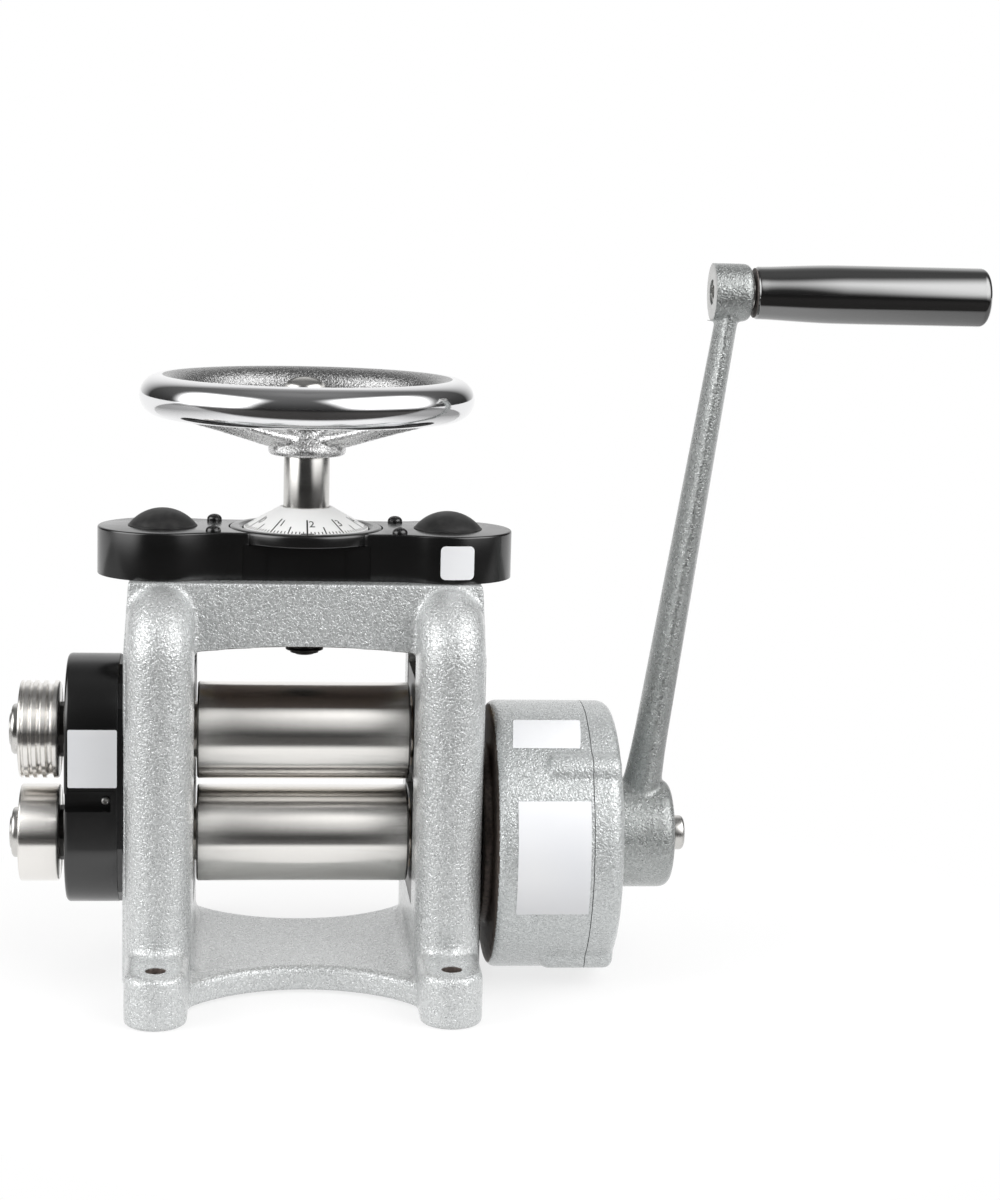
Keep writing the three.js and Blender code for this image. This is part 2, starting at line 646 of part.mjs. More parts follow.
function chock(below, above, pocketSide) {
  const block = pushed(roundedBox(-CHOCK_HALF_WIDTH, -below, CHOCK_HALF_WIDTH, above, CHOCK_CORNER),
    chockLeft, chockRight, 'x');
  const bore = rod(bushOuter + CLEARANCE, chockLeft - 1, chockRight + 1, 'x', ROUND_SEGMENTS);
  const face = pocketSide > 0 ? above : -below;
  const floor = face - pocketSide * SPRING_POCKET_DEPTH;
  const mouth = face + pocketSide;
  const pockets = [-1, 1].map((y) => rod(SPRING_POCKET_RADIUS, Math.min(floor, mouth),
    Math.max(floor, mouth), 'z', PLAIN_SEGMENTS, shift(chockMiddle, y * SPRING_OFFSET, 0)));
  return cut(block, bore, ...pockets);
}

const lowerChock = chock(CHOCK_FOOT, CHOCK_INNER_WALL, 1);
const upperChock = chock(CHOCK_INNER_WALL, CHOCK_CROWN, -1);
const bush = sleeve(bushInner, bushOuter, chockLeft, chockRight, 'x', ROUND_SEGMENTS);
const mirrored = (body) => body.transform(rearTurn.elements);
const lowerBearings = assembly(mill, 0, 0, lowerHeight);
const upperBearings = assembly(mill, 0, 0, upperHeight);
for (const [name, side] of SIDES) {
  const faced = (body) => (side > 0 ? body : mirrored(body));
  piece(`lower_chock_${name}`, faced(lowerChock), darkSteel, lowerBearings);
  piece(`lower_bush_${name}`, faced(bush), bronze, lowerBearings);
  piece(`upper_chock_${name}`, faced(upperChock), darkSteel, upperBearings);
  piece(`upper_bush_${name}`, faced(bush), bronze, upperBearings);
}

// Return springs: one unbroken wire with straight ends, square to the pockets' floors

const springFoot = lowerHeight + CHOCK_INNER_WALL - SPRING_POCKET_DEPTH + CLEARANCE;
const springHead = upperHeight - CHOCK_INNER_WALL + SPRING_POCKET_DEPTH - CLEARANCE;

function springPath() {
  const wire = 2 * SPRING_WIRE_RADIUS;
  const end = 2 * wire;
  const length = springHead - springFoot;
  const stepsPerCurl = 8;
  const steps = SPRING_CURLS * stepsPerCurl;
  const up = new THREE.Vector3(0, 0, 1);
  const stations = [];
  for (let k = 0; k <= steps; k += 1) {
    const angle = 2 * Math.PI * k / stepsPerCurl;
    const out = new THREE.Vector3(Math.cos(angle), Math.sin(angle), 0);
    const along = new THREE.Vector3(-Math.sin(angle), Math.cos(angle), 0);
    const height = end + (length - 2 * end) * k / steps;
    const place = out.clone().multiplyScalar(SPRING_COIL_RADIUS).addScaledVector(up, height);
    stations.push({ place, out, along });
  }
  const leadOut = (station, way) => [1, 2].map((k) => {
    const bend = Math.PI / 4 * k;
    const ahead = way * wire * Math.sin(bend);
    const rise = way * wire * (1 - Math.cos(bend));
    const place = station.place.clone().addScaledVector(station.along, ahead).addScaledVector(up, rise);
    const along = station.along.clone().multiplyScalar(Math.cos(bend)).addScaledVector(up, Math.sin(bend));
    return { place, out: station.out, along };
  });
  const foot = leadOut(stations[0], -1).reverse();
  const head = leadOut(stations[steps], 1);
  const straight = (station, height) => ({
    place: new THREE.Vector3(station.place.x, station.place.y, height), out: station.out, along: up,
  });
  return [straight(foot[0], 0), ...foot, ...stations, ...head, straight(head[1], length)];
}

function springSolid(path) {
  const sides = 5;
  return lofted(path.map(({ place, out, along }) => {
    const across = along.clone().cross(out);
    return Array.from({ length: sides }, (_, k) => {
      const angle = 2 * Math.PI * k / sides;
      return place.clone().addScaledVector(out, SPRING_WIRE_RADIUS * Math.cos(angle))
        .addScaledVector(across, SPRING_WIRE_RADIUS * Math.sin(angle));
    });
  }));
}

// Least gap between one turn's wire and the next, measured on the path's points
function leastGap(path) {
  let least = Infinity;
  path.forEach((a, i) => path.slice(i + 5).forEach((b) => {
    least = Math.min(least, a.place.distanceTo(b.place) - 2 * SPRING_WIRE_RADIUS);
  }));
  return least;
}

const wirePath = springPath();
console.log(`return spring: least gap to itself ${leastGap(wirePath).toFixed(2)} mm`);
const spring = springSolid(wirePath);
for (const [name, side] of SIDES) {
  piece(`return_spring_front_${name}`, spring, turnedSteel, frame,
    side * chockMiddle, -SPRING_OFFSET, springFoot);
  piece(`return_spring_rear_${name}`, spring, turnedSteel, frame,
    side * chockMiddle, SPRING_OFFSET, springFoot);
}

// Rolls: ground barrels on journals, with a stepped shaft out to the left for the synchronising
// gear and the extension roll, and on the lower one to the right for the planet carrier

const half = ROLL_LENGTH / 2;
const journalEnd = outerFace - JOURNAL_END_INSET;
const extensionSeatEnd = extensionLeft + CLEARANCE;
const leftOfBarrel = [
  [0, extensionSeatEnd], [EXTENSION_SEAT_RADIUS, extensionSeatEnd],
  [EXTENSION_SEAT_RADIUS, extensionRight], [SHAFT_RADIUS, extensionRight],
  [SHAFT_RADIUS, -journalEnd], [JOURNAL_RADIUS, -journalEnd], [JOURNAL_RADIUS, -half],
  [ROLL_RADIUS - ROLL_EDGE, -half], [ROLL_RADIUS, -half + ROLL_EDGE],
  [ROLL_RADIUS, half - ROLL_EDGE], [ROLL_RADIUS - ROLL_EDGE, half],
  [JOURNAL_RADIUS, half], [JOURNAL_RADIUS, journalEnd],
];
const shaftRight = carrierRight - CLEARANCE;
const upperRollSolid = turned([...leftOfBarrel, [0, journalEnd]], 'x', BARREL_SEGMENTS);
const lowerRollSolid = turned([...leftOfBarrel, [SHAFT_RADIUS, journalEnd],
  [SHAFT_RADIUS, shaftRight], [0, shaftRight]], 'x', BARREL_SEGMENTS);

const lowerShaft = assembly(mill, 0, 0, lowerHeight);
const upperShaft = assembly(mill, 0, 0, upperHeight);
piece('lower_roll', lowerRollSolid, groundSteel, lowerShaft);
piece('upper_roll', upperRollSolid, groundSteel, upperShaft);

// Synchronising gears: deep teeth that stay in mesh while the rolls open and close. Their hubs
// reach out through the side cover and carry the extension rolls' shoulders.

const closedCentres = 2 * ROLL_RADIUS;
const syncModule = closedCentres / SYNC_TEETH;
const syncRight = -outerFace - SIDE_PLATE_THICKNESS - SYNC_FROM_WALL;
const syncLeft = syncRight - SYNC_WIDTH;
const syncHubRadius = JOURNAL_RADIUS - CLEARANCE;

function syncGear(phase) {
  const teeth = pushed(gearShape({
    teeth: SYNC_TEETH, module: syncModule, pressure: SYNC_PRESSURE_ANGLE, thinning: 0.5, phase,
  }), syncLeft, syncRight, 'x');
  const hub = rod(syncHubRadius, extensionRight + CLEARANCE, syncLeft + 1, 'x', ROUND_SEGMENTS);
  const bore = rod(SHAFT_RADIUS + CLEARANCE, extensionRight - 1, syncRight + 1, 'x', ROUND_SEGMENTS);
  return cut(join(teeth, hub), bore);
}

const lowerSyncPhase = 0;
const upperSyncPhase = meshPhase(Math.PI / 2, lowerSyncPhase, SYNC_TEETH, SYNC_TEETH);
piece('lower_sync_gear', syncGear(lowerSyncPhase), darkSteel, lowerShaft);
piece('upper_sync_gear', syncGear(upperSyncPhase), darkSteel, upperShaft);

// Extension rolls: a plain one below and one with half-round wire grooves above

const extensionEdges = {
  inner: [[EXTENSION_SEAT_RADIUS + CLEARANCE, extensionLeft], [ROLL_RADIUS - ROLL_EDGE, extensionLeft],
    [ROLL_RADIUS, extensionLeft + ROLL_EDGE]],
  outer: [[ROLL_RADIUS, extensionRight - ROLL_EDGE], [ROLL_RADIUS - ROLL_EDGE, extensionRight],
    [EXTENSION_SEAT_RADIUS + CLEARANCE, extensionRight]],
};

const grooves = GROOVE_PLACES.flatMap((place, i) => rounding(
  ROLL_RADIUS, extensionLeft + place, GROOVE_WIDTHS[i] / 2, 270, 90, 2));
piece('lower_extension_roll', turned([...extensionEdges.inner, ...extensionEdges.outer], 'x',
  BARREL_SEGMENTS), groundSteel, lowerShaft);
piece('upper_extension_roll', turned([...extensionEdges.inner, ...grooves, ...extensionEdges.outer],
  'x', BARREL_SEGMENTS), groundSteel, upperShaft);

const capSeat = extensionLeft - END_CAP_SEAT_GAP;
const endCap = cut(turned([
  [0, capFace], [END_CAP_RADIUS * 0.62, capFace], [END_CAP_RADIUS * 0.7, capFace + 1],
  ...rounding(END_CAP_RADIUS - 2, capFace + 3, 2, 270, 360), [END_CAP_RADIUS, capSeat], [0, capSeat],
], 'x', ROUND_SEGMENTS), pushed(polygon(END_CAP_SOCKET_RADIUS, 6), capFace - 1,
  capFace + END_CAP_SOCKET_DEPTH, 'x'));
piece('lower_end_cap', endCap, turnedSteel, lowerShaft);
piece('upper_end_cap', endCap, turnedSteel, upperShaft);

// Side cover over the synchronising gears, and its back plate on the frame

const nearHole = syncHubRadius + HUB_CLEARANCE;
const shaftSlot = (radius) => obround(radius, upperHeight - ROLL_GAP, upperHeight + ROLL_OPENING_ABOVE_REST);
const sideMiddle = (lowerHeight + upperHeight) / 2;
const recessHeight = sideMiddle - SIDE_COVER_RECESS_DROP;
const recessRight = sideCoverX + SIDE_COVER_RECESS_LENGTH;

function recessBox(extra, left, right) {
  const halfHeight = SIDE_COVER_RECESS_HEIGHT / 2 + extra;
  const back = -SIDE_COVER_RADIUS + SIDE_COVER_RECESS_DEPTH + extra;
  const front = -SIDE_COVER_RADIUS + (extra > 0 ? 0 : -1);
  return pushed(new THREE.Shape([
    new THREE.Vector2(front, recessHeight - halfHeight), new THREE.Vector2(back, recessHeight - halfHeight),
    new THREE.Vector2(back, recessHeight + halfHeight), new THREE.Vector2(front, recessHeight + halfHeight),
  ]), left, right, 'x');
}

const sideCoverPlan = (inset) => obround(SIDE_COVER_RADIUS - inset, lowerHeight,
  upperHeight + SIDE_COVER_HEADROOM);

function sideCover() {
  const edged = pushed(sideCoverPlan(0), sideCoverX, sidePlateX + SIDE_COVER_EDGE, 'x', SIDE_COVER_EDGE);
  const skirt = pushed(sideCoverPlan(0), sidePlateX - SIDE_COVER_DEPTH / 2, sidePlateX, 'x');
  const trim = pushed(roundedBox(-2 * SIDE_COVER_RADIUS, 0, 2 * SIDE_COVER_RADIUS, 3 * upperHeight, 1),
    sidePlateX, sidePlateX + 2 * SIDE_COVER_EDGE, 'x');
  const cavity = pushed(sideCoverPlan(SIDE_COVER_WALL), sideCoverX + SIDE_COVER_WALL, sidePlateX + 1, 'x');
  const lowerHole = rod(nearHole, sideCoverX - 1, sideCoverX + SIDE_COVER_WALL + 1, 'x',
    ROUND_SEGMENTS, shift(0, 0, lowerHeight));
  const upperHole = pushed(shaftSlot(nearHole), sideCoverX - 1, sideCoverX + SIDE_COVER_WALL + 1, 'x');
  const shell = cut(join(edged, skirt), trim, cavity, lowerHole, upperHole);
  const lining = recessBox(RECESS_WALL, sideCoverX + SIDE_COVER_EDGE, recessRight + RECESS_WALL);
  return cut(join(shell, lining), recessBox(0, sideCoverX - 1, recessRight));
}

piece('side_cover', sideCover(), blackPlastic, frame);
piece('side_cover_plate', cut(pushed(sideCoverPlan(0), sidePlateX, -outerFace, 'x'),
  rod(SHAFT_RADIUS + HUB_CLEARANCE, sidePlateX - 1, -outerFace + 1, 'x', ROUND_SEGMENTS,
    shift(0, 0, lowerHeight)),
  pushed(shaftSlot(SHAFT_RADIUS + HUB_CLEARANCE), sidePlateX - 1, -outerFace + 1, 'x')),
blackPlastic, frame);

// Gearbox: a turned case with a spigot on the frame, a cover, and four screw bosses across the seam

const gearbox = assembly(mill, 0, 0, lowerHeight);
const bossOrbit = GEARBOX_RADIUS + BOSS_STAND_OUT - BOSS_RADIUS;
const bossAngles = BOSS_ANGLES.flatMap((angle) => [radians(angle), -radians(angle)]);
const bosses = (from, to, edgeLeft, edgeRight) => bossAngles.map((angle) => turned([
  [0, from], ...(edgeLeft ? rounding(BOSS_RADIUS - BOSS_EDGE, from + BOSS_EDGE, BOSS_EDGE, 270, 360, 1)
    : [[BOSS_RADIUS, from]]),
  ...(edgeRight ? rounding(BOSS_RADIUS - BOSS_EDGE, to - BOSS_EDGE, BOSS_EDGE, 0, 90, 1)
    : [[BOSS_RADIUS, to]]), [0, to],
], 'x', SMALL_SEGMENTS, shift(0, -bossOrbit * Math.sin(angle), bossOrbit * Math.cos(angle))));

const cavityLeft = caseLeft + GEARBOX_END_WALL;
const caseOuter = turned([
  [0, outerFace], [SPIGOT_RADIUS, outerFace], [SPIGOT_RADIUS, caseLeft],
  ...rounding(GEARBOX_RADIUS - CASE_EDGE, caseLeft + CASE_EDGE, CASE_EDGE, 270, 360),
  [GEARBOX_RADIUS, caseRight], [0, caseRight],
], 'x', LARGE_SEGMENTS);
const caseHollow = turned([
  [0, outerFace - 1], [CASE_SHAFT_HOLE_RADIUS, outerFace - 1], [CASE_SHAFT_HOLE_RADIUS, cavityLeft],
  [cavityRadius - RING_SEAT_STEP, cavityLeft], [cavityRadius - RING_SEAT_STEP, planetsLeft - CLEARANCE],
  [cavityRadius, planetsLeft - CLEARANCE], [cavityRadius, caseRight + 1], [0, caseRight + 1],
], 'x', LARGE_SEGMENTS);
piece('gearbox_case', cut(join(caseOuter, ...bosses(caseRight - BOSS_LENGTH, caseRight, true, false)),
  caseHollow), hammeredPaint, gearbox);

const crankBushInner = crankShaftRadius + CLEARANCE;
const crankBushOuter = crankBushInner + CRANK_BUSH_WALL;
const coverWallLeft = gearboxRight - GEARBOX_END_WALL;
const coverBossLeft = coverWallLeft - COVER_BOSS_LENGTH;
const gearboxCoverBody = turned([
  [0, caseRight], [GEARBOX_RADIUS, caseRight],
  ...rounding(GEARBOX_RADIUS - GEARBOX_COVER_EDGE, gearboxRight - GEARBOX_COVER_EDGE,
    GEARBOX_COVER_EDGE, 0, 90), [0, gearboxRight],
], 'x', LARGE_SEGMENTS);
const coverHollow = sleeve(COVER_BOSS_RADIUS, cavityRadius, caseRight - 1, coverWallLeft, 'x',
  LARGE_SEGMENTS);
const coverBoss = rod(COVER_BOSS_RADIUS, coverBossLeft, coverWallLeft + 1, 'x', LARGE_SEGMENTS);
const coverBore = rod(crankBushOuter + CLEARANCE, coverBossLeft - 1, gearboxRight + 1, 'x',
  ROUND_SEGMENTS);
const coverBossTabs = bosses(caseRight, gearboxRight - 1, false, true);
piece('gearbox_cover', cut(join(cut(join(gearboxCoverBody, ...coverBossTabs), coverHollow), coverBoss),
  coverBore), hammeredPaint, gearbox);
piece('crank_bush', sleeve(crankBushInner, crankBushOuter, coverBossLeft,
  gearboxRight + CRANK_BUSH_PROUD, 'x', ROUND_SEGMENTS), bronze, gearbox);

// Epicyclic gears

const epicyclic = (teeth, thinning, phase, extra = {}) => gearShape({
  teeth, module: epicyclicModule, pressure: EPICYCLIC_PRESSURE_ANGLE, thinning, phase, ...extra,
});
const planetAngles = Array.from({ length: PLANET_COUNT }, (_, k) =>
  Math.PI / 2 + 2 * Math.PI * k / PLANET_COUNT);
const sunPhase = 0;
const planetPhases = planetAngles.map((angle) => meshPhase(angle, sunPhase, SUN_TEETH, PLANET_TEETH));
const ringPhase = planetAngles[0] - (planetAngles[0] - planetPhases[0]) * PLANET_TEETH / ringTeeth;
const ringSpaces = epicyclic(ringTeeth, -0.4, ringPhase, {
  addendum: ROOT_DEPTH, dedendum: 1, flankSteps: 1,
});
const ringBlank = rod(cavityRadius - CLEARANCE, planetsLeft, planetsRight, 'x', LARGE_SEGMENTS);
piece('ring_gear', cut(ringBlank, pushed(ringSpaces, planetsLeft - 1, planetsRight + 1, 'x')),
  turnedSteel, gearbox);

const pins = planetAngles.map((angle) => rod(PLANET_PIN_RADIUS, carrierRight - 1,
  planetsRight + 1, 'x', SMALL_SEGMENTS,
  shift(0, planetOrbit * Math.cos(angle), planetOrbit * Math.sin(angle))));
const carrierBlank = turned([
  [0, cavityLeft + CLEARANCE], [CARRIER_HUB_RADIUS, cavityLeft + CLEARANCE],
  [CARRIER_HUB_RADIUS, carrierLeft], [carrierRadius, carrierLeft], [carrierRadius, carrierRight],
  [0, carrierRight],
], 'x', ROUND_SEGMENTS);
piece('planet_carrier', cut(join(carrierBlank, ...pins),
  rod(SHAFT_RADIUS + CLEARANCE, cavityLeft - 1, carrierRight + 1, 'x', ROUND_SEGMENTS)),
turnedSteel, lowerShaft);

planetAngles.forEach((angle, k) => {
  const teeth = pushed(epicyclic(PLANET_TEETH, 0.35, planetPhases[k]), planetsLeft, planetsRight, 'x');
  const bore = rod(PLANET_PIN_RADIUS + CLEARANCE, planetsLeft - 1, planetsRight + 1, 'x', SMALL_SEGMENTS);
  piece(`planet_gear_${k + 1}`, cut(teeth, bore), turnedSteel, gearbox,
    0, planetOrbit * Math.cos(angle), planetOrbit * Math.sin(angle));
});

const shaftEnd = crankHubRight - HUB_CLEARANCE;
const sunTeeth = pushed(epicyclic(SUN_TEETH, 0.35, sunPhase), planetsLeft, planetsRight, 'x');
const sunStem = turned([
  [0, planetsRight - 1], [crankShaftRadius, planetsRight - 1], [crankShaftRadius, shaftEnd],
  [0, shaftEnd],
], 'x', ROUND_SEGMENTS);
const crank = assembly(mill, 0, 0, lowerHeight);
piece('crank_shaft_with_sun_gear', cut(join(sunTeeth, sunStem), rod(CRANK_BOLT_RADIUS + CLEARANCE,
  shaftEnd - CRANK_BOLT_LENGTH - HUB_CLEARANCE, shaftEnd + 1, 'x', SMALL_SEGMENTS)), turnedSteel, crank);

// Crank: hub, a tapered arm of lens-shaped section that leans outwards, and the handle's boss

function armRings() {
  const root = new THREE.Vector3(crankHubLeft + CRANK_HUB_LENGTH / 2 + ARM_ROOT_OFFSET, 0, 0);
  const tip = new THREE.Vector3(handleBossX, 0, CRANK_LENGTH);
  const across = new THREE.Vector3().subVectors(tip, root).normalize().cross(new THREE.Vector3(0, 1, 0));
  const steps = 3;
  const sides = 12;
  const ridge = 1.6;
  const rings = [];
  for (let k = 0; k <= steps; k += 1) {
    const share = 0.04 + 0.93 * k / steps;
    const centre = root.clone().lerp(tip, share);
    const width = THREE.MathUtils.lerp(ARM_ROOT_WIDTH, ARM_TIP_WIDTH, share) / 2;
    const depth = THREE.MathUtils.lerp(ARM_ROOT_DEPTH, ARM_TIP_DEPTH, share) / 2;
    rings.push(Array.from({ length: sides }, (_, i) => {
      const angle = 2 * Math.PI * i / sides;
      const bulge = (value) => Math.sign(value) * Math.abs(value) ** (2 / ridge);
      return centre.clone().addScaledVector(across, -width * bulge(Math.cos(angle)))
        .add(new THREE.Vector3(0, depth * bulge(Math.sin(angle)), 0));
    }));
  }
  return rings;
}

const crankHub = turned([
  [0, crankHubLeft], ...rounding(CRANK_HUB_RADIUS - CRANK_HUB_EDGE, crankHubLeft + CRANK_HUB_EDGE,
    CRANK_HUB_EDGE, 270, 360),
  ...rounding(CRANK_HUB_RADIUS - CRANK_HUB_EDGE, crankHubRight - CRANK_HUB_EDGE, CRANK_HUB_EDGE, 0, 90),
  [0, crankHubRight],
], 'x', ROUND_SEGMENTS);
const bossLeft = handleBossX - HANDLE_BOSS_LENGTH / 2;
const bossRight = handleBossX + HANDLE_BOSS_LENGTH / 2;
const handleBoss = turned([
  [0, bossLeft], ...rounding(HANDLE_BOSS_RADIUS - 3, bossLeft + 3, 3, 270, 360),
  ...rounding(HANDLE_BOSS_RADIUS - 3, bossRight - 3, 3, 0, 90), [0, bossRight],
], 'x', ROUND_SEGMENTS, shift(0, 0, CRANK_LENGTH));
const hubBore = rod(crankShaftRadius + CLEARANCE, crankHubLeft - 1, crankHubRight + 1, 'x',
  ROUND_SEGMENTS);
const studBore = rod(GRIP_STUD_RADIUS + CLEARANCE, bossLeft - 1, bossRight + 1, 'x', SMALL_SEGMENTS,
  shift(0, 0, CRANK_LENGTH));
piece('crank_arm', cut(join(lofted(armRings()), crankHub, handleBoss), hubBore, studBore),
  hammeredPaint, crank);

const washerLeft = crankHubRight + END_CAP_SEAT_GAP;
const headLeft = washerLeft + CRANK_WASHER_THICKNESS + END_CAP_SEAT_GAP;
piece('crank_washer', sleeve(CRANK_BOLT_RADIUS + CLEARANCE, crankShaftRadius + 2 * CLEARANCE, washerLeft,
  washerLeft + CRANK_WASHER_THICKNESS, 'x', ROUND_SEGMENTS), darkSteel, crank);
piece('crank_bolt', cut(turned([
  [0, shaftEnd - CRANK_BOLT_LENGTH], [CRANK_BOLT_RADIUS, shaftEnd - CRANK_BOLT_LENGTH],
  [CRANK_BOLT_RADIUS, headLeft], [CRANK_BOLT_HEAD_RADIUS, headLeft],
  ...rounding(CRANK_BOLT_HEAD_RADIUS - CRANK_BOLT_HEAD_EDGE,
    headLeft + CRANK_BOLT_HEAD_HEIGHT - CRANK_BOLT_HEAD_EDGE, CRANK_BOLT_HEAD_EDGE, 0, 90),
  [0, headLeft + CRANK_BOLT_HEAD_HEIGHT],
], 'x', SMALL_SEGMENTS), pushed(polygon(SOCKET_RADIUS, 6), headLeft + 1,
  headLeft + CRANK_BOLT_HEAD_HEIGHT + 1, 'x')), turnedSteel, crank);

// Grip: turned handle that spins on a rod, which is screwed into the boss

const handle = assembly(mill, 0, 0, handleHeight);
const rodEnd = gripRight - GRIP_ROD_END_INSET;
const collarLeft = bossRight + CLEARANCE;
const rodLeft = bossLeft + GRIP_STUD_INSET;
piece('grip_rod', cut(turned([
  [0, rodLeft], [GRIP_STUD_RADIUS, rodLeft], [GRIP_STUD_RADIUS, collarLeft],
  [GRIP_COLLAR_RADIUS, collarLeft], [GRIP_COLLAR_RADIUS, collarLeft + GRIP_COLLAR_LENGTH],
  [GRIP_ROD_RADIUS, collarLeft + GRIP_COLLAR_LENGTH], [GRIP_ROD_RADIUS, rodEnd], [0, rodEnd],
], 'x', SMALL_SEGMENTS), pushed(polygon(SOCKET_RADIUS, 6), rodLeft - 1, rodLeft + SOCKET_DEPTH, 'x')),
turnedSteel, handle);
const gripBore = GRIP_ROD_RADIUS + CLEARANCE;
piece('grip', turned([
  [0, rodEnd + 1], [gripBore, rodEnd + 1], [gripBore, gripLeft],
  ...rounding(GRIP_NECK_RADIUS - GRIP_NECK_EDGE, gripLeft + GRIP_NECK_EDGE, GRIP_NECK_EDGE, 270, 360),
  [GRIP_NECK_RADIUS + (GRIP_RADIUS - GRIP_NECK_RADIUS) * 0.75, gripLeft + GRIP_NECK_LENGTH * 0.55],
  [GRIP_RADIUS, gripLeft + GRIP_NECK_LENGTH],
  ...rounding(GRIP_RADIUS - GRIP_END_EDGE, gripRight - GRIP_END_EDGE, GRIP_END_EDGE, 0, 90),
  [0, gripRight],
], 'x', ROUND_SEGMENTS), blackGloss, handle);

// Screw-down train: pinion on the spindle, tall idlers, and a gear on each screw. The idlers are
// taller than the screw gears, which rise and fall with the screws.

const spur = (teeth, phase) => gearShape({
  teeth, module: screwGearModule, pressure: SPUR_PRESSURE_ANGLE, thinning: 0.3, phase,
  addendum: 0.9, flankSteps: 1,
});
const pinionPhase = 0;
const pinionFoot = frameTop + SPINDLE_BUSH_FLANGE + CLEARANCE;
const wheelGroup = assembly(mill);
piece('spindle_pinion', cut(pushed(spur(PINION_TEETH, pinionPhase), pinionFoot, idlerTop),
  rod(SPINDLE_JOURNAL_RADIUS + CLEARANCE, pinionFoot - 1, idlerTop + 1, 'z', SMALL_SEGMENTS)),
turnedSteel, wheelGroup);

const nut = turned([
  [SCREW_RADIUS + CLEARANCE, slotTop - NUT_FLANGE_HEIGHT], [NUT_FLANGE_RADIUS, slotTop - NUT_FLANGE_HEIGHT],
  [NUT_FLANGE_RADIUS, slotTop], [nutRadius, slotTop], [nutRadius, frameTop - NUT_TOP_INSET],
  [SCREW_RADIUS + CLEARANCE, frameTop - NUT_TOP_INSET],
], 'z', ROUND_SEGMENTS);
const screwFoot = upperHeight + CHOCK_CROWN + SCREW_TIP_GAP;
const screwNeck = screwGearFoot - SCREW_NECK_BELOW_GEAR;
const screwTop = screwGearFoot + SCREW_GEAR_THICKNESS + SCREW_NECK_BELOW_GEAR;
const screw = turned([
  [0, screwFoot], [SCREW_RADIUS - 1, screwFoot], [SCREW_RADIUS, screwFoot + 1], [SCREW_RADIUS, screwNeck],
  [SCREW_NECK_RADIUS, screwNeck], [SCREW_NECK_RADIUS, screwTop], [0, screwTop],
], 'z', ROUND_SEGMENTS);
const idlerPin = rod(IDLER_PIN_RADIUS, frameTop - IDLER_PIN_DEPTH, idlerTop + IDLER_PIN_PROUD, 'z',
  SMALL_SEGMENTS);

for (const [name, side] of SIDES) {
  const towards = side > 0 ? 0 : Math.PI;
  const idlerPhase = meshPhase(towards, pinionPhase, PINION_TEETH, IDLER_TEETH);
  const screwPhase = meshPhase(towards, idlerPhase, IDLER_TEETH, SCREW_GEAR_TEETH);
  const idlerBore = rod(IDLER_PIN_RADIUS + CLEARANCE, frameTop - 1, idlerTop + 1, 'z', SMALL_SEGMENTS);
  const idlerHub = rod(IDLER_HUB_RADIUS, frameTop + CLEARANCE, idlerFoot + 1, 'z', ROUND_SEGMENTS);
  const idler = cut(join(pushed(spur(IDLER_TEETH, idlerPhase), idlerFoot, idlerTop), idlerHub), idlerBore);
  const gear = cut(pushed(spur(SCREW_GEAR_TEETH, screwPhase), screwGearFoot,
    screwGearFoot + SCREW_GEAR_THICKNESS), rod(SCREW_NECK_RADIUS + CLEARANCE, screwGearFoot - 1,
    screwGearFoot + SCREW_GEAR_THICKNESS + 1, 'z', ROUND_SEGMENTS));
  piece(`idler_pin_${name}`, idlerPin, turnedSteel, frame, side * idlerX);
  piece(`idler_gear_${name}`, idler, turnedSteel, frame, side * idlerX);
  piece(`screw_nut_${name}`, nut, bronze, frame, side * screwX);
  piece(`adjusting_screw_${name}`, screw, turnedSteel, frame, side * screwX);
  piece(`screw_gear_${name}`, gear, turnedSteel, frame, side * screwX);
}

// Spindle with its bush, thrust washer and nut

const spindleShoulder = idlerTop + CLEARANCE;
const bushFoot = bridgeUnderside + BRIDGE_ARCH;
const washerTop = bushFoot - CLEARANCE;
const washerFoot = washerTop - THRUST_WASHER_THICKNESS;
const nutTop = washerFoot - END_CAP_SEAT_GAP;
const nutFoot = nutTop - SPINDLE_NUT_HEIGHT;
const spindleFoot = nutFoot - SPINDLE_TIP_LENGTH;
const hubTop = wheelFoot + HUB_HEIGHT;
const journalBore = SPINDLE_JOURNAL_RADIUS + CLEARANCE;
piece('spindle_bush', turned([
  [journalBore, bushFoot], [spindleBushRadius, bushFoot], [spindleBushRadius, frameTop],
  [SPINDLE_BUSH_FLANGE_RADIUS, frameTop], [SPINDLE_BUSH_FLANGE_RADIUS, frameTop + SPINDLE_BUSH_FLANGE],
  [journalBore, frameTop + SPINDLE_BUSH_FLANGE],
], 'z', ROUND_SEGMENTS), bronze, frame);
piece('spindle', cut(turned([
  [0, spindleFoot], [SPINDLE_JOURNAL_RADIUS - 1, spindleFoot], [SPINDLE_JOURNAL_RADIUS, spindleFoot + 1],
  [SPINDLE_JOURNAL_RADIUS, spindleShoulder], [SPINDLE_RADIUS, spindleShoulder],
  [SPINDLE_RADIUS, wheelFoot], [SPINDLE_SEAT_RADIUS, wheelFoot], [SPINDLE_SEAT_RADIUS, hubTop - CLEARANCE],
  [0, hubTop - CLEARANCE],
], 'z', ROUND_SEGMENTS), rod(WHEEL_BOLT_RADIUS + CLEARANCE, hubTop - WHEEL_BOLT_LENGTH - 1, hubTop + 1,
  'z', SMALL_SEGMENTS)), turnedSteel, wheelGroup);
piece('thrust_washer', sleeve(journalBore, THRUST_WASHER_RADIUS, washerFoot, washerTop, 'z',
  ROUND_SEGMENTS), darkSteel, wheelGroup);
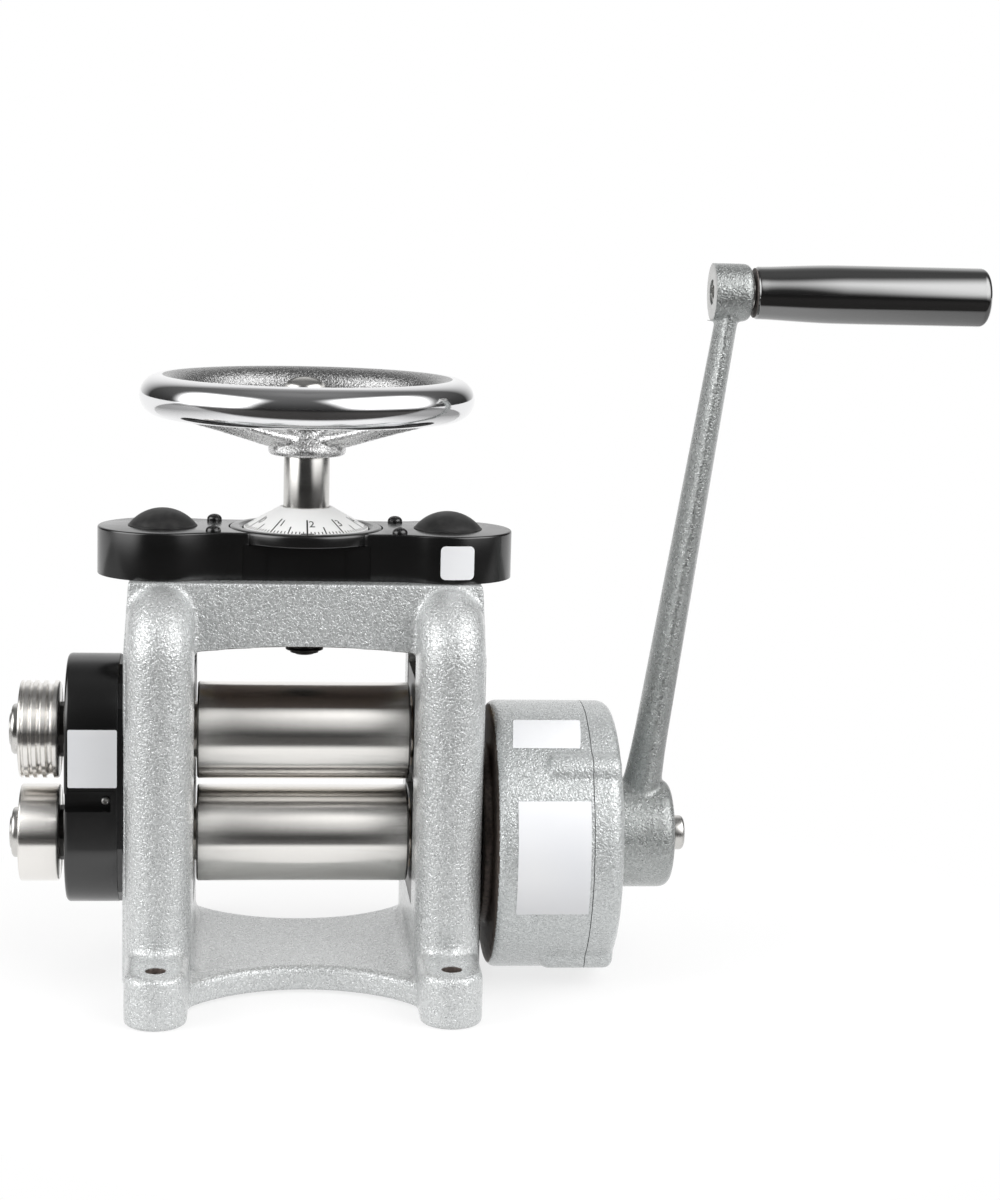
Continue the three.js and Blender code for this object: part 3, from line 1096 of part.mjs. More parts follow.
piece('spindle_nut', cut(pushed(polygon(SPINDLE_NUT_RADIUS, 6), nutFoot, nutTop),
  rod(journalBore, nutFoot - 1, nutTop + 1, 'z', SMALL_SEGMENTS)), darkSteel, wheelGroup);

// Handwheel: round rim, dished spokes and a flanged hub, cast in one

function spokeRings() {
  const rimCentre = WHEEL_RADIUS - RIM_RADIUS;
  const start = HUB_NECK_RADIUS * 0.75;
  const end = rimCentre - RIM_RADIUS * 0.35;
  const low = wheelFoot + HUB_FLANGE_HEIGHT + SPOKE_HUB_THICKNESS / 2 - 1;
  const high = rimHeight - RIM_RADIUS * 0.25;
  const steps = 4;
  const sides = 8;
  return Array.from({ length: steps + 1 }, (_, k) => {
    const share = k / steps;
    const reach = THREE.MathUtils.lerp(start, end, share);
    const height = THREE.MathUtils.lerp(low, high, share ** 1.25);
    const bow = (a, b, c) => a * (1 - share) ** 2 + 2 * (2 * b - (a + c) / 2) * share * (1 - share)
      + c * share ** 2;
    const width = bow(SPOKE_HUB_WIDTH, SPOKE_MIDDLE_WIDTH, SPOKE_RIM_WIDTH) / 2;
    const thickness = bow(SPOKE_HUB_THICKNESS, SPOKE_MIDDLE_THICKNESS, SPOKE_RIM_THICKNESS) / 2;
    return Array.from({ length: sides }, (_, i) => {
      const angle = 2 * Math.PI * i / sides;
      return new THREE.Vector3(reach, width * Math.cos(angle), height + thickness * Math.sin(angle));
    });
  });
}

const rimProfile = rounding(WHEEL_RADIUS - RIM_RADIUS, rimHeight, RIM_RADIUS, 0, 324, 9);
const rim = turned(rimProfile, 'z', LARGE_SEGMENTS);
const hub = turned([
  [0, wheelFoot], ...rounding(HUB_FLANGE_RADIUS - 2, wheelFoot + 2, 2, 270, 360),
  [HUB_FLANGE_RADIUS, wheelFoot + HUB_FLANGE_HEIGHT],
  [HUB_NECK_RADIUS, wheelFoot + HUB_FLANGE_HEIGHT + 8], [HUB_NECK_RADIUS, hubTop - 1],
  [HUB_NECK_RADIUS - 1, hubTop], [0, hubTop],
], 'z', ROUND_SEGMENTS);
const spoke = lofted(spokeRings());
const spokes = Array.from({ length: SPOKE_COUNT }, (_, k) =>
  spoke.rotate([0, 0, SPOKE_FIRST_ANGLE + 360 * k / SPOKE_COUNT]));
const wheelBore = rod(SPINDLE_SEAT_RADIUS + CLEARANCE, wheelFoot - 1, hubTop + 1, 'z', ROUND_SEGMENTS);
piece('handwheel', cut(join(rim, hub, ...spokes), wheelBore), chrome, wheelGroup, 0, 0, CLEARANCE);
piece('handwheel_bolt', cut(turned([
  [0, hubTop - WHEEL_BOLT_LENGTH], [WHEEL_BOLT_RADIUS, hubTop - WHEEL_BOLT_LENGTH],
  [WHEEL_BOLT_RADIUS, hubTop + 2 * CLEARANCE], [WHEEL_BOLT_HEAD_RADIUS, hubTop + 2 * CLEARANCE],
  [WHEEL_BOLT_HEAD_RADIUS, hubTop + 2], [WHEEL_BOLT_HEAD_RADIUS * 0.75, hubTop + WHEEL_BOLT_HEAD_HEIGHT],
  [0, hubTop + WHEEL_BOLT_HEAD_HEIGHT],
], 'z', SMALL_SEGMENTS), pushed(polygon(SOCKET_RADIUS, 6), hubTop + 3,
  hubTop + WHEEL_BOLT_HEAD_HEIGHT + 1)), turnedSteel, wheelGroup);
piece('dial', turned([
  [SPINDLE_RADIUS + CLEARANCE, coverTop - DIAL_RIM_HEIGHT], [DIAL_RADIUS, coverTop - DIAL_RIM_HEIGHT],
  [DIAL_RADIUS, coverTop], [DIAL_TOP_RADIUS, dialTop], [SPINDLE_RADIUS + CLEARANCE, dialTop],
], 'z', LARGE_SEGMENTS), whitePlastic, wheelGroup);

// Top cover: two round lobes over the screw gears and a waist over the idlers, with a round seat
// for the dial's bezel

function coverPlan(inset) {
  const lobe = coverLobeRadius - inset;
  const waist = coverWaist - inset;
  const fillet = COVER_WAIST_FILLET + inset;
  const apart = Math.sqrt((lobe + fillet) ** 2 - (waist + fillet) ** 2);
  const filletX = screwX - apart;
  const lean = THREE.MathUtils.radToDeg(Math.atan2(waist + fillet, apart));
  return new THREE.Shape([
    ...arc(screwX, 0, lobe, lean - 180, 180 - lean),
    ...arc(filletX, waist + fillet, fillet, -lean, -90),
    ...arc(-filletX, waist + fillet, fillet, -90, lean - 180),
    ...arc(-screwX, 0, lobe, lean, 360 - lean),
    ...arc(-filletX, -waist - fillet, fillet, 180 - lean, 90),
    ...arc(filletX, -waist - fillet, fillet, 90, lean),
  ]);
}

const bezelOuter = DIAL_RADIUS + BEZEL_GAP + BEZEL_WIDTH;
const coverCeiling = coverTop - COVER_WALL;

function topCover() {
  const body = pushed(coverPlan(0), frameTop - COVER_EDGE, coverTop, 'z', COVER_EDGE);
  const skirt = pushed(coverPlan(0), frameTop, frameTop + COVER_HEIGHT / 2);
  const belowFrame = rod(2 * screwX, frameTop - 2 * COVER_EDGE, frameTop, 'z', SMALL_SEGMENTS);
  const cavity = pushed(coverPlan(COVER_WALL), frameTop - 1, coverCeiling);
  const posts = SIDES.flatMap(([, side]) => [-1, 1].map((y) => rod(COVER_POST_RADIUS, frameTop,
    coverCeiling + 1, 'z', PLAIN_SEGMENTS, shift(side * coverScrewX, y * coverScrewY, 0))));
  const seat = rod(bezelOuter + CLEARANCE, bezelFoot - CLEARANCE, coverTop + 1, 'z', LARGE_SEGMENTS);
  const shelfFoot = bezelFoot - CLEARANCE - BEZEL_SHELF;
  const shelf = sleeve(BEZEL_FLOOR_HOLE_RADIUS, bezelOuter + CLEARANCE + COVER_WALL, shelfFoot,
    coverCeiling + 1, 'z', LARGE_SEGMENTS).intersect(pushed(coverPlan(COVER_WALL / 2), frameTop, coverTop));
  const plugHoles = SIDES.map(([, side]) => rod(CAP_PLUG_RADIUS + CLEARANCE, coverCeiling - 1,
    coverTop + 1, 'z', ROUND_SEGMENTS, shift(side * screwX, 0, 0)));
  const panel = pushed(roundedBox(-COVER_PANEL_HALF_WIDTH, -2 * coverWaist,
    COVER_PANEL_HALF_WIDTH, -coverWaist + COVER_PANEL_DEPTH, 0.4), frameTop - 1, coverTop + 1);
  return cut(join(cut(join(body, skirt), belowFrame, cavity), shelf, ...posts), seat, ...plugHoles, panel);
}

piece('top_cover', topCover(), blackPlastic, frame);
const bezelInner = DIAL_RADIUS + BEZEL_GAP;
piece('dial_bezel', turned([
  [BEZEL_FLOOR_HOLE_RADIUS, bezelFoot],
  ...rounding(bezelOuter - BEZEL_FOOT_EDGE, bezelFoot + BEZEL_FOOT_EDGE, BEZEL_FOOT_EDGE, 270, 360, 1),
  ...rounding(bezelOuter - BEZEL_TOP_EDGE, coverTop + BEZEL_PROUD - BEZEL_TOP_EDGE, BEZEL_TOP_EDGE, 0, 90),
  [bezelInner, coverTop + BEZEL_PROUD], [bezelInner, bezelFoot + BEZEL_FLOOR],
  [BEZEL_FLOOR_HOLE_RADIUS, bezelFoot + BEZEL_FLOOR],
], 'z', LARGE_SEGMENTS), blackPlastic, frame);

const domeRadius = (CAP_RADIUS ** 2 + CAP_HEIGHT ** 2) / (2 * CAP_HEIGHT);
const domeStart = THREE.MathUtils.radToDeg(Math.acos(CAP_RADIUS / domeRadius));
const capProfile = [[0, coverTop - CAP_PLUG_DEPTH], [CAP_PLUG_RADIUS, coverTop - CAP_PLUG_DEPTH],
  [CAP_PLUG_RADIUS, coverTop],
  ...rounding(0, coverTop + CAP_HEIGHT - domeRadius, domeRadius, domeStart, 90, 4).slice(0, -1),
  [0, coverTop + CAP_HEIGHT]];
const cap = turned(capProfile, 'z', ROUND_SEGMENTS);
for (const [name, side] of SIDES) {
  piece(`cover_cap_${name}`, cap, rubber, frame, side * screwX);
}

export default mill;
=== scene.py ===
# Looks for the jewellers rolling mill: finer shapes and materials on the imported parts, in their frame.
# Sizes are in millimetres in the mill's own frame, where X = 0 is the handwheel's axis, Y = 0 holds
# both roll axes and Z = 0 is the bench. They are turned into the row's metres as each mesh is made.

import json
import math

import bmesh
import bpy
import numpy as np
from mathutils import Matrix, Vector


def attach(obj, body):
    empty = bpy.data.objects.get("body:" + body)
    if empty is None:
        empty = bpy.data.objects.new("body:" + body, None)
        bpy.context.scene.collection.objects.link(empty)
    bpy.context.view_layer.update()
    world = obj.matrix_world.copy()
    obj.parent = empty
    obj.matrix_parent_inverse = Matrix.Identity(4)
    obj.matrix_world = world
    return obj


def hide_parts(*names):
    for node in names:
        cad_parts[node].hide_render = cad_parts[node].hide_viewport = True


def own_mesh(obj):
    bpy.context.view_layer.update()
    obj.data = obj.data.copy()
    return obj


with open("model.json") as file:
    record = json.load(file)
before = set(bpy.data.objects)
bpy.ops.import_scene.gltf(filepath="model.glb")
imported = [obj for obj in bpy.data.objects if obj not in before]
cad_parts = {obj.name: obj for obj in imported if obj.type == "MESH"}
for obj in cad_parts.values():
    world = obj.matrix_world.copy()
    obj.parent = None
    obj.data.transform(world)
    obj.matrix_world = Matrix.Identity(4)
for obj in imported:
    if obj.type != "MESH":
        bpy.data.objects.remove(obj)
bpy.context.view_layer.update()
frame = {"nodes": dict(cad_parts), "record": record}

ROW_SHIFT = -119.35
LOWER_Z, UPPER_Z = 87.0, 152.0
COLUMN_X = 86.5
SCREW_X = 87
OUTER_FACE, INNER_FACE, WEB_Y = 109.0, 66.5, 43
PLATE_FOOT, PLATE_TOP = 1.6, 16.9
FOOT_HOLE_Y = 108.8
FRAME_TOP = 250.0
COVER_TOP = 279.0
COVER_SCREW_X, COVER_SCREW_Y = 56, 27
LOBE_R, WAIST_Y = 39.3, 31.5
DIAL_TOP = 291.6
DIAL_R0, DIAL_R1 = 38.0, 16.0
DIAL_SLANT = math.hypot(DIAL_R0 - DIAL_R1, DIAL_TOP - COVER_TOP)
WHEEL_FOOT = 323.3
WHEEL_HUB_TOP = WHEEL_FOOT + 23
RIM_Z, RIM_R, RIM_TUBE = 358.8, 89.0, 12.3
HANDLE_Z = 427.0
GEARBOX_R = 83.3
LOWER_AXIS, HANDLE_AXIS = (0, 0, LOWER_Z), (0, 0, HANDLE_Z)
SIDES = (("left", -1), ("right", 1))
WHEEL_BODY = "handwheel_and_spindle"
CUT, ADD = "DIFFERENCE", "UNION"


# Meshes

def new_mesh(name, verts, faces):
    mesh = bpy.data.meshes.new(name)
    places = (np.asarray(verts, float) + (ROW_SHIFT, 0, 0)) / 1000
    mesh.from_pydata(places.tolist(), [], [list(map(int, f)) for f in faces])
    return mesh


def new_object(name, data):
    thing = bpy.data.objects.new(name, data)
    bpy.context.scene.collection.objects.link(thing)
    return thing


def clean(mesh, merge):
    work = bmesh.new()
    work.from_mesh(mesh)
    if merge:
        bmesh.ops.remove_doubles(work, verts=work.verts, dist=1e-7)
    bmesh.ops.recalc_face_normals(work, faces=work.faces)
    work.to_mesh(mesh)
    work.free()


def finish_object(name, mesh, material, body, node, slot, crease):
    clean(mesh, True)
    mesh.polygons.foreach_set("use_smooth", [True] * len(mesh.polygons))
    if crease:
        mesh.set_sharp_from_angle(angle=math.radians(crease))
    mesh.materials.clear()
    mesh.materials.append(material)
    piece = new_object(name, mesh)
    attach(piece, body)
    if node:
        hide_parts(node)
    return piece


def add_object(name, solid, material, body, node, slot, crease=30):
    return finish_object(name, new_mesh(name, *solid), material, body, node, slot, crease)


def joined(*solids):
    verts, faces = [], []
    for points, polygons in solids:
        faces.extend([[i + len(verts) for i in f] for f in polygons])
        verts.extend(points)
    return verts, faces


def angles(count):
    return [2 * math.pi * k / count for k in range(count)]


def polar(radius, angle, cx=0, cy=0):
    return cx + radius * math.cos(angle), cy + radius * math.sin(angle)


def arc(cx, cy, radius, start, end, steps):
    return [polar(radius, a, cx, cy) for a in np.radians(np.linspace(start, end, steps + 1))]


# Rounds the corners of a polyline. radii holds one value for each point, 0 for a sharp one.
def rounded(points, radii, steps=5, closed=False):
    made = []
    count = len(points)
    for i, (point, radius) in enumerate(zip(points, radii)):
        if radius <= 0 or (not closed and i in (0, count - 1)):
            made.append(tuple(point))
            continue
        here = np.array(point, float)
        before = np.array(points[i - 1], float) - here
        after = np.array(points[(i + 1) % count], float) - here
        u, w = before / np.linalg.norm(before), after / np.linalg.norm(after)
        half = math.acos(max(-1, min(1, float(u @ w)))) / 2
        reach = radius / math.tan(half)
        middle = here + (u + w) / np.linalg.norm(u + w) * radius / math.sin(half)
        a0 = here + u * reach - middle
        a1 = here + w * reach - middle
        turn = math.atan2(a0[0] * a1[1] - a0[1] * a1[0], float(a0 @ a1))
        for k in range(steps + 1):
            t = turn * k / steps
            made.append((middle[0] + a0[0] * math.cos(t) - a0[1] * math.sin(t),
                         middle[1] + a0[0] * math.sin(t) + a0[1] * math.cos(t)))
    return made


# Profile of a flat ring
def ring_profile(inner, outer, low, high, radii=(0.3,) * 4):
    return rounded([(inner, low), (outer, low), (outer, high), (inner, high)], radii, 2, True)


# Turns a profile of (radius, height) pairs about Z or X through a centre
def lathe(profile, axis="z", centre=(0, 0, 0), segments=96):
    ring = not (profile[0][0] < 1e-9 and profile[-1][0] < 1e-9)
    verts, rows, faces = [], [], []
    for radius, height in profile:
        row = [(0, 0, height)] if radius < 1e-9 else [(*polar(radius, a), height) for a in angles(segments)]
        rows.append(range(len(verts), len(verts) + len(row)))
        verts.extend(row)
    pairs = list(zip(rows, rows[1:])) + ([(rows[-1], rows[0])] if ring else [])
    for low, high in pairs:
        if len(low) == len(high) == 1:
            continue
        for k in range(segments):
            n = (k + 1) % segments
            if len(low) == 1:
                faces.append([low[0], high[k], high[n]])
            elif len(high) == 1:
                faces.append([low[k], low[n], high[0]])
            else:
                faces.append([low[k], low[n], high[n], high[k]])
    if axis == "x":
        verts = [(z, x, y) for x, y, z in verts]
    cx, cy, cz = centre
    return [(x + cx, y + cy, z + cz) for x, y, z in verts], faces


def rod(radius, low, high, axis="x", centre=(0, 0, 0), segments=48, edges=(0, 0), steps=6):
    profile = rounded([(0, low), (radius, low), (radius, high), (0, high)], [0, *edges, 0], steps)
    return lathe(profile, axis, centre, segments)


def inset(outline, distance):
    points = np.array(outline, float)
    before = points - np.roll(points, 1, axis=0)
    after = np.roll(points, -1, axis=0) - points
    before /= np.linalg.norm(before, axis=1)[:, None]
    after /= np.linalg.norm(after, axis=1)[:, None]
    normal = np.stack([-(before + after)[:, 1], (before + after)[:, 0]], axis=1)
    size = np.linalg.norm(normal, axis=1)
    normal /= size[:, None]
    return (points + normal * (distance * 2 / size)[:, None]).tolist()


def place(points, level, axis):
    if axis == "z":
        return [(p[0], p[1], level) for p in points]
    if axis == "x":
        return [(level, p[0], p[1]) for p in points]
    return [(p[0], level, p[1]) for p in points]


def anticlockwise(outline):
    outline = list(outline)
    area = sum(a[0] * b[1] - b[0] * a[1] for a, b in zip(outline, outline[1:] + outline[:1]))
    return outline if area > 0 else outline[::-1]


# Outline pushed along an axis, with rounded low and high edges
def prism(outline, low, high, low_edge=0, high_edge=0, axis="z", steps=4):
    outline = anticlockwise(outline)
    turns = [math.pi / 2 * k / steps for k in range(steps + 1)]
    levels, upper = [(0, low)], [(0, high)]
    if low_edge:
        levels = [(low_edge * (1 - math.sin(a)), low + low_edge * (1 - math.cos(a))) for a in turns]
    if high_edge:
        upper = [(high_edge * (1 - math.cos(a)), high - high_edge * (1 - math.sin(a))) for a in turns]
    return loft([place(inset(outline, distance) if distance > 1e-6 else outline, level, axis)
                 for distance, level in levels + upper])


def loft(rings):
    count = len(rings[0])
    verts = [tuple(p) for ring in rings for p in ring]
    faces = []
    for row in range(len(rings) - 1):
        for k in range(count):
            a, b = row * count + k, row * count + (k + 1) % count
            faces.append([a, b, b + count, a + count])
    last = (len(rings) - 1) * count
    faces.append(list(range(count))[::-1])
    faces.append(list(range(last, last + count)))
    return verts, faces


def box(x0, y0, z0, x1, y1, z1):
    return prism([(x0, y0), (x1, y0), (x1, y1), (x0, y1)], z0, z1)


def helper(name, solid):
    mesh = new_mesh(name, *solid)
    clean(mesh, False)
    return new_object(name, mesh)


def evaluated_mesh(thing):
    return bpy.data.meshes.new_from_object(
        thing.evaluated_get(bpy.context.evaluated_depsgraph_get()))


# Applies booleans to the helper object, and makes the result a piece
def carved(name, base, steps, *rest):
    spares = [base]
    for index, (operation, solid) in enumerate(steps):
        tool = helper(f"{name}_tool_{index}", solid)
        spares.append(tool)
        change = base.modifiers.new(f"step_{index}", "BOOLEAN")
        change.object = tool
        change.operation = operation
        change.solver = "EXACT"
    made = evaluated_mesh(base)
    made.name = name
    for spare in spares:
        bpy.data.objects.remove(spare)
    return finish_object(name, made, *rest)


def boolean_piece(name, start, steps, material, body, node, slot, crease=30):
    return carved(name, helper(name + "_raw", start), steps, material, body, node, slot, crease)


# One skin over overlapping closed solids, with small fillets where they meet, as a casting has
def cast(name, solids, material, body, node, slot, voxel, rounds, keep, cuts):
    raw = helper(name + "_raw", joined(*solids))
    remesh = raw.modifiers.new("skin", "REMESH")
    remesh.mode = "VOXEL"
    remesh.voxel_size = voxel / 1000
    soften = raw.modifiers.new("soften", "SMOOTH")
    soften.factor = 0.5
    soften.iterations = rounds
    fewer = raw.modifiers.new("fewer", "DECIMATE")
    fewer.ratio = keep
    return carved(name, raw, [(CUT, tool) for tool in cuts], material, body, node, slot, 50)


# Materials

# Links the sockets among the inputs, and sets the other values
def fill(tree, node, inputs):
    for key, value in inputs.items():
        if isinstance(value, bpy.types.NodeSocket):
            tree.links.new(value, node.inputs[key])
        else:
            node.inputs[key].default_value = value


def add_node(tree, kind, inputs=None, **settings):
    node = tree.nodes.new("ShaderNode" + kind)
    for key, value in settings.items():
        setattr(node, key, value)
    fill(tree, node, inputs or {})
    return node


def coordinates(tree, kind):
    return add_node(tree, "TexCoord").outputs[kind]


def math_node(tree, operation, *values, clamp=False):
    return add_node(tree, "Math", dict(enumerate(values)), operation=operation,
                    use_clamp=clamp).outputs["Value"]


def noise(tree, scale, detail=2.0, stretch=(1, 1, 1), distortion=0.0):
    mapping = add_node(tree, "Mapping", {"Vector": coordinates(tree, "Object"), "Scale": stretch})
    return add_node(tree, "TexNoise", {"Vector": mapping.outputs["Vector"], "Scale": scale,
                                       "Detail": detail, "Distortion": distortion}).outputs["Fac"]


def ramp(tree, source, low, high, start=0.3, end=0.7, **settings):
    return add_node(tree, "MapRange", {"Value": source, "From Min": start, "From Max": end, "To Min": low,
                                       "To Max": high}, **settings).outputs["Result"]


def tint(tree, source, low, high, start=0.3, end=0.7):
    node = add_node(tree, "ValToRGB", {"Fac": source})
    for element, where, color in zip(node.color_ramp.elements, (start, end), (low, high)):
        element.position = where
        element.color = (*color, 1)
    return node.outputs["Color"]


def new_material(name, color, metallic=0.0, roughness=0.5, coat=0.0, specular=None):
    material = bpy.data.materials.new(name)
    material.use_nodes = True
    tree = material.node_tree
    shader = tree.nodes["Principled BSDF"]
    fill(tree, shader, {"Base Color": (*color, 1), "Metallic": metallic, "Roughness": roughness,
                        "Coat Weight": coat, "Coat Roughness": 0.12})
    if specular is not None:
        fill(tree, shader, {"Specular IOR Level": specular})
    return material, tree, shader


def bump(tree, shader, source, strength, distance):
    node = add_node(tree, "Bump", {"Strength": strength, "Distance": distance, "Height": source})
    fill(tree, shader, {"Normal": node.outputs["Normal"]})


# A material that noise varies. tone, rough and relief each start with the scale and detail of a
# noise. The colours or roughnesses that it runs between follow, or a bump's strength and distance.
def mottled(name, color, metallic, roughness, tone=None, rough=None, relief=None, stretch=(1, 1, 1),
            coat=0.0, specular=None):
    material, tree, shader = new_material(name, color, metallic, roughness, coat, specular)
    if tone:
        fill(tree, shader, {"Base Color": tint(tree, noise(tree, *tone[:2]), *tone[2:])})
    if rough:
        fill(tree, shader, {"Roughness": ramp(tree, noise(tree, *rough[:2]), *rough[2:])})
    if relief:
        bump(tree, shader, noise(tree, *relief[:2], stretch), *relief[2:])
    return material


# Hammered paint. Its colour follows the noise of its bumps and is darker in the hollows: partly the paint's
# own mottling, partly painted shade.
def hammered_paint(name, dark, light, metal=0.55, scale=680, depth=0.0011):
    material, tree, shader = new_material(name, light, metal, 0.34, 0.4)
    pebbles_and_hollow_shade = noise(tree, scale, 1.5, distortion=0.8)
    fill(tree, shader, {"Coat Roughness": 0.14, "Base Color": tint(tree, pebbles_and_hollow_shade, dark, light, 0.36, 0.64),
                        "Roughness": ramp(tree, noise(tree, 300, 1), 0.25, 0.33)})
    bump(tree, shader, pebbles_and_hollow_shade, 0.85, depth)
    return material


# Ground along the circumference, so that highlights are drawn out along the roll and stay sharp across
def ground_steel():
    material, tree, shader = new_material("ground_steel", (0.76, 0.74, 0.71), 1.0, 0.26)
    around = add_node(tree, "Tangent", direction_type="RADIAL", axis="X")
    lines = noise(tree, 500, 2, stretch=(1, 0, 0))
    fill(tree, shader, {"Anisotropic": 1.0, "Anisotropic Rotation": 0.25,
                        "Tangent": around.outputs["Tangent"],
                        "Roughness": ramp(tree, lines, 0.252, 0.26),
                        "Base Color": tint(tree, lines, (0.86, 0.84, 0.81), (0.88, 0.86, 0.83))})
    return material


def turned_steel(name, rough=0.25, stretch=(0.01, 0.01, 1)):
    return mottled(name, (0.62, 0.61, 0.59), 1.0, rough, rough=(80, 2, rough * 0.8, rough * 1.25),
                   relief=(1600, 2, 0.06, 0.00005), stretch=stretch)


def cast_chrome(name, tone):
    material, tree, shader = new_material(name, (tone,) * 3, 1.0, 0.28)
    grain = noise(tree, 800, 2, distortion=0.5)
    fill(tree, shader, {"Base Color": tint(tree, grain, (tone * 0.75,) * 3, (min(tone * 1.2, 0.95),) * 3),
                        "Roughness": ramp(tree, grain, 0.2, 0.38)})
    bump(tree, shader, grain, 0.9, 0.0006)
    return material


def black_gloss():
    material = mottled("black_gloss", (0.004,) * 3, 0.0, 0.09, None, (60, 2, 0.06, 0.12),
                       (500, 1, 0.02, 0.0001), (1, 0.05, 0.05), 1.0)
    tree = material.node_tree
    fill(tree, tree.nodes["Principled BSDF"], {"IOR": 2.0, "Coat IOR": 2.0})
    return material


PAINT = hammered_paint("hammered_paint", (0.59, 0.605, 0.605), (0.72, 0.735, 0.735))
# The gearbox's and the crank's copies of the same hammered paint are darker, as painted shade.
CASE_PAINT_SHADED = hammered_paint("hammered_paint_case_shaded", (0.53, 0.55, 0.55), (0.68, 0.7, 0.7))
CRANK_PAINT_SHADED = hammered_paint("hammered_paint_crank_shaded", (0.34, 0.355, 0.35), (0.49, 0.505, 0.5), 0.85,
                             900, 0.0008)
FACED = mottled("faced_metal", (0.66, 0.66, 0.65), 0.6, 0.45,
                (300, 3, (0.6, 0.6, 0.59), (0.7, 0.7, 0.69)))
# Dark iron colour: bare iron in the foot bores, and painted shade on the bridge's underside and on the
# gearbox case's faces towards the frame.
BARE_IRON_AND_SHADE = mottled("bare_iron_and_shade", (0.09, 0.07, 0.06), 0.5, 0.5,
               (500, 3, (0.05, 0.04, 0.035), (0.14, 0.11, 0.095)))
# The grip's end face: a matte, unpolished end, with painted reflection of the left softbox in its grey-brown
# colour.
GRIP_END_AND_SHEEN = mottled("grip_end_matte_and_sheen", (0.13, 0.11, 0.105), 0.0, 0.6,
                   (700, 3, (0.1, 0.085, 0.08), (0.17, 0.15, 0.14)))
GROUND = ground_steel()
TURNED = turned_steel("turned_steel")
TURNED_X = turned_steel("turned_steel_x", stretch=(1, 0.01, 0.01))
SPINDLE = turned_steel("spindle_steel", 0.19)
DARK = mottled("dark_steel", (0.03, 0.028, 0.027), 0.6, 0.36,
               (150, 3, (0.02, 0.019, 0.018), (0.05, 0.047, 0.044)), relief=(700, 2, 0.1, 0.0001))
CHROME = mottled("wheel_chrome", (0.82, 0.82, 0.83), 1.0, 0.09, rough=(40, 2, 0.07, 0.12),
                 relief=(90, 1, 0.02, 0.0002))
CAST = cast_chrome("cast_chrome", 0.88)
# A darker copy of the same cast chrome for the rim's inside, as painted shade.
CAST_RIM_SHADED = cast_chrome("cast_chrome_rim_shaded", 0.38)
BRONZE = mottled("bronze", (0.6, 0.42, 0.19), 1.0, 0.3, (120, 2, (0.52, 0.36, 0.16), (0.66, 0.47, 0.22)))
BLACK = mottled("black_plastic", (0.004,) * 3, 0.0, 0.2, rough=(30, 3, 0.16, 0.26),
                relief=(2600, 1, 0.05, 0.0001), specular=0.9)
RUBBER = mottled("black_rubber", (0.012,) * 3, 0.0, 0.5,
                 (160, 4, (0.012,) * 3, (0.034, 0.033, 0.032), 0.4, 0.8), (45, 3, 0.44, 0.6),
                 (1500, 2, 0.08, 0.0001))
WHITE = mottled("white_plastic", (0.87, 0.87, 0.86), 0.0, 0.38,
                (35, 2, (0.85, 0.85, 0.84), (0.89, 0.89, 0.885)))
GLOSS = black_gloss()
INK = mottled("black_ink", (0.01,) * 3, 0.0, 0.5, (400, 1, (0.008,) * 3, (0.016,) * 3))
LABEL = mottled("label_film", (0.86, 0.87, 0.89), 0.0, 0.3,
                (20, 2, (0.84, 0.85, 0.875), (0.88, 0.885, 0.9)))

SLOT_MATERIALS = {
    "hammered_paint": PAINT, "ground_steel": GROUND, "turned_steel": TURNED_X, "dark_steel": DARK,
    "bronze": BRONZE, "wheel_chrome": CHROME, "black_plastic": BLACK, "black_rubber": RUBBER,
    "white_plastic": WHITE, "black_gloss": GLOSS,
}
for part in frame["record"]["subparts"]:
    for holder in frame["nodes"][part["node"]].material_slots:
        holder.material = SLOT_MATERIALS[part["material_slot"]]


# Frame casting

# The column's half-round section flares out onto the foot in front and onto the plate at the inner side
def column(side, front):
    half, bend_y, reach = 19.9, 40.0, 43.0
    top = 248.4 - reach
    pad, pad_flare, plate_flare = 31.4, 7, 9
    section = [(-half * math.cos(a), reach - half + half * math.sin(a), math.sin(a))
               for a in np.linspace(0, math.pi, 25)]
    section = [(-half, 1.0, 0.0)] + section + [(half, 1.0, 0.0)]

    def flare(z, foot, radius):
        inside = radius ** 2 - (radius - (z - foot)) ** 2
        return radius - math.sqrt(max(inside, 0)) if z < foot + radius else 0

    def ring(angle, z):
        ahead = flare(max(z, pad), pad, pad_flare) if angle == 0 else 0
        inward = flare(max(z, PLATE_TOP), PLATE_TOP, plate_flare) if angle == 0 else 0
        made = []
        for x, out, forward in section:
            spread = inward * (1 - forward) if side * x < 0 else 0
            out = out + ahead * forward ** 1.5
            made.append((side * COLUMN_X + x - side * spread, front * (bend_y + out * math.cos(angle)),
                         z + out * math.sin(angle)))
        return made
    heights = [PLATE_FOOT, PLATE_TOP]
    heights += [PLATE_TOP + plate_flare * t ** 1.5 for t in (0.15, 0.3, 0.5, 0.75, 1)]
    heights += [pad + pad_flare * t ** 1.5 for t in (0, 0.15, 0.3, 0.5, 0.75, 1)]
    return loft([ring(0, z) for z in heights] + [ring(a, top) for a in np.linspace(0, math.pi / 2, 15)])


def web_fillet(side):
    edge, low, radius = INNER_FACE, 16.4, 9
    curve = arc(edge - radius, PLATE_TOP + radius, radius, -90, 0, 8)
    curve += [(edge + 3, PLATE_TOP + radius), (edge + 3, low), (edge - radius, low)]
    return prism([(side * x, z) for x, z in curve], -WEB_Y, WEB_Y, axis="y")


def foot(side, front):
    half, tip = 18.6, 127.0
    outline = [(half, -60), (-half, -60)] + arc(0, -tip + half, half, 180, 360, 24)
    if front > 0:
        outline = [(-x, -y) for x, y in outline]
    points = [(side * COLUMN_X + x, y) for x, y in outline][::-1]
    hole = arc(side * COLUMN_X, FOOT_HOLE_Y * front, 6.2, 0, 360, 32)[:-1]
    return prism(points, 0, 31.5, 2, 4.6), prism(hole, -5, 40)


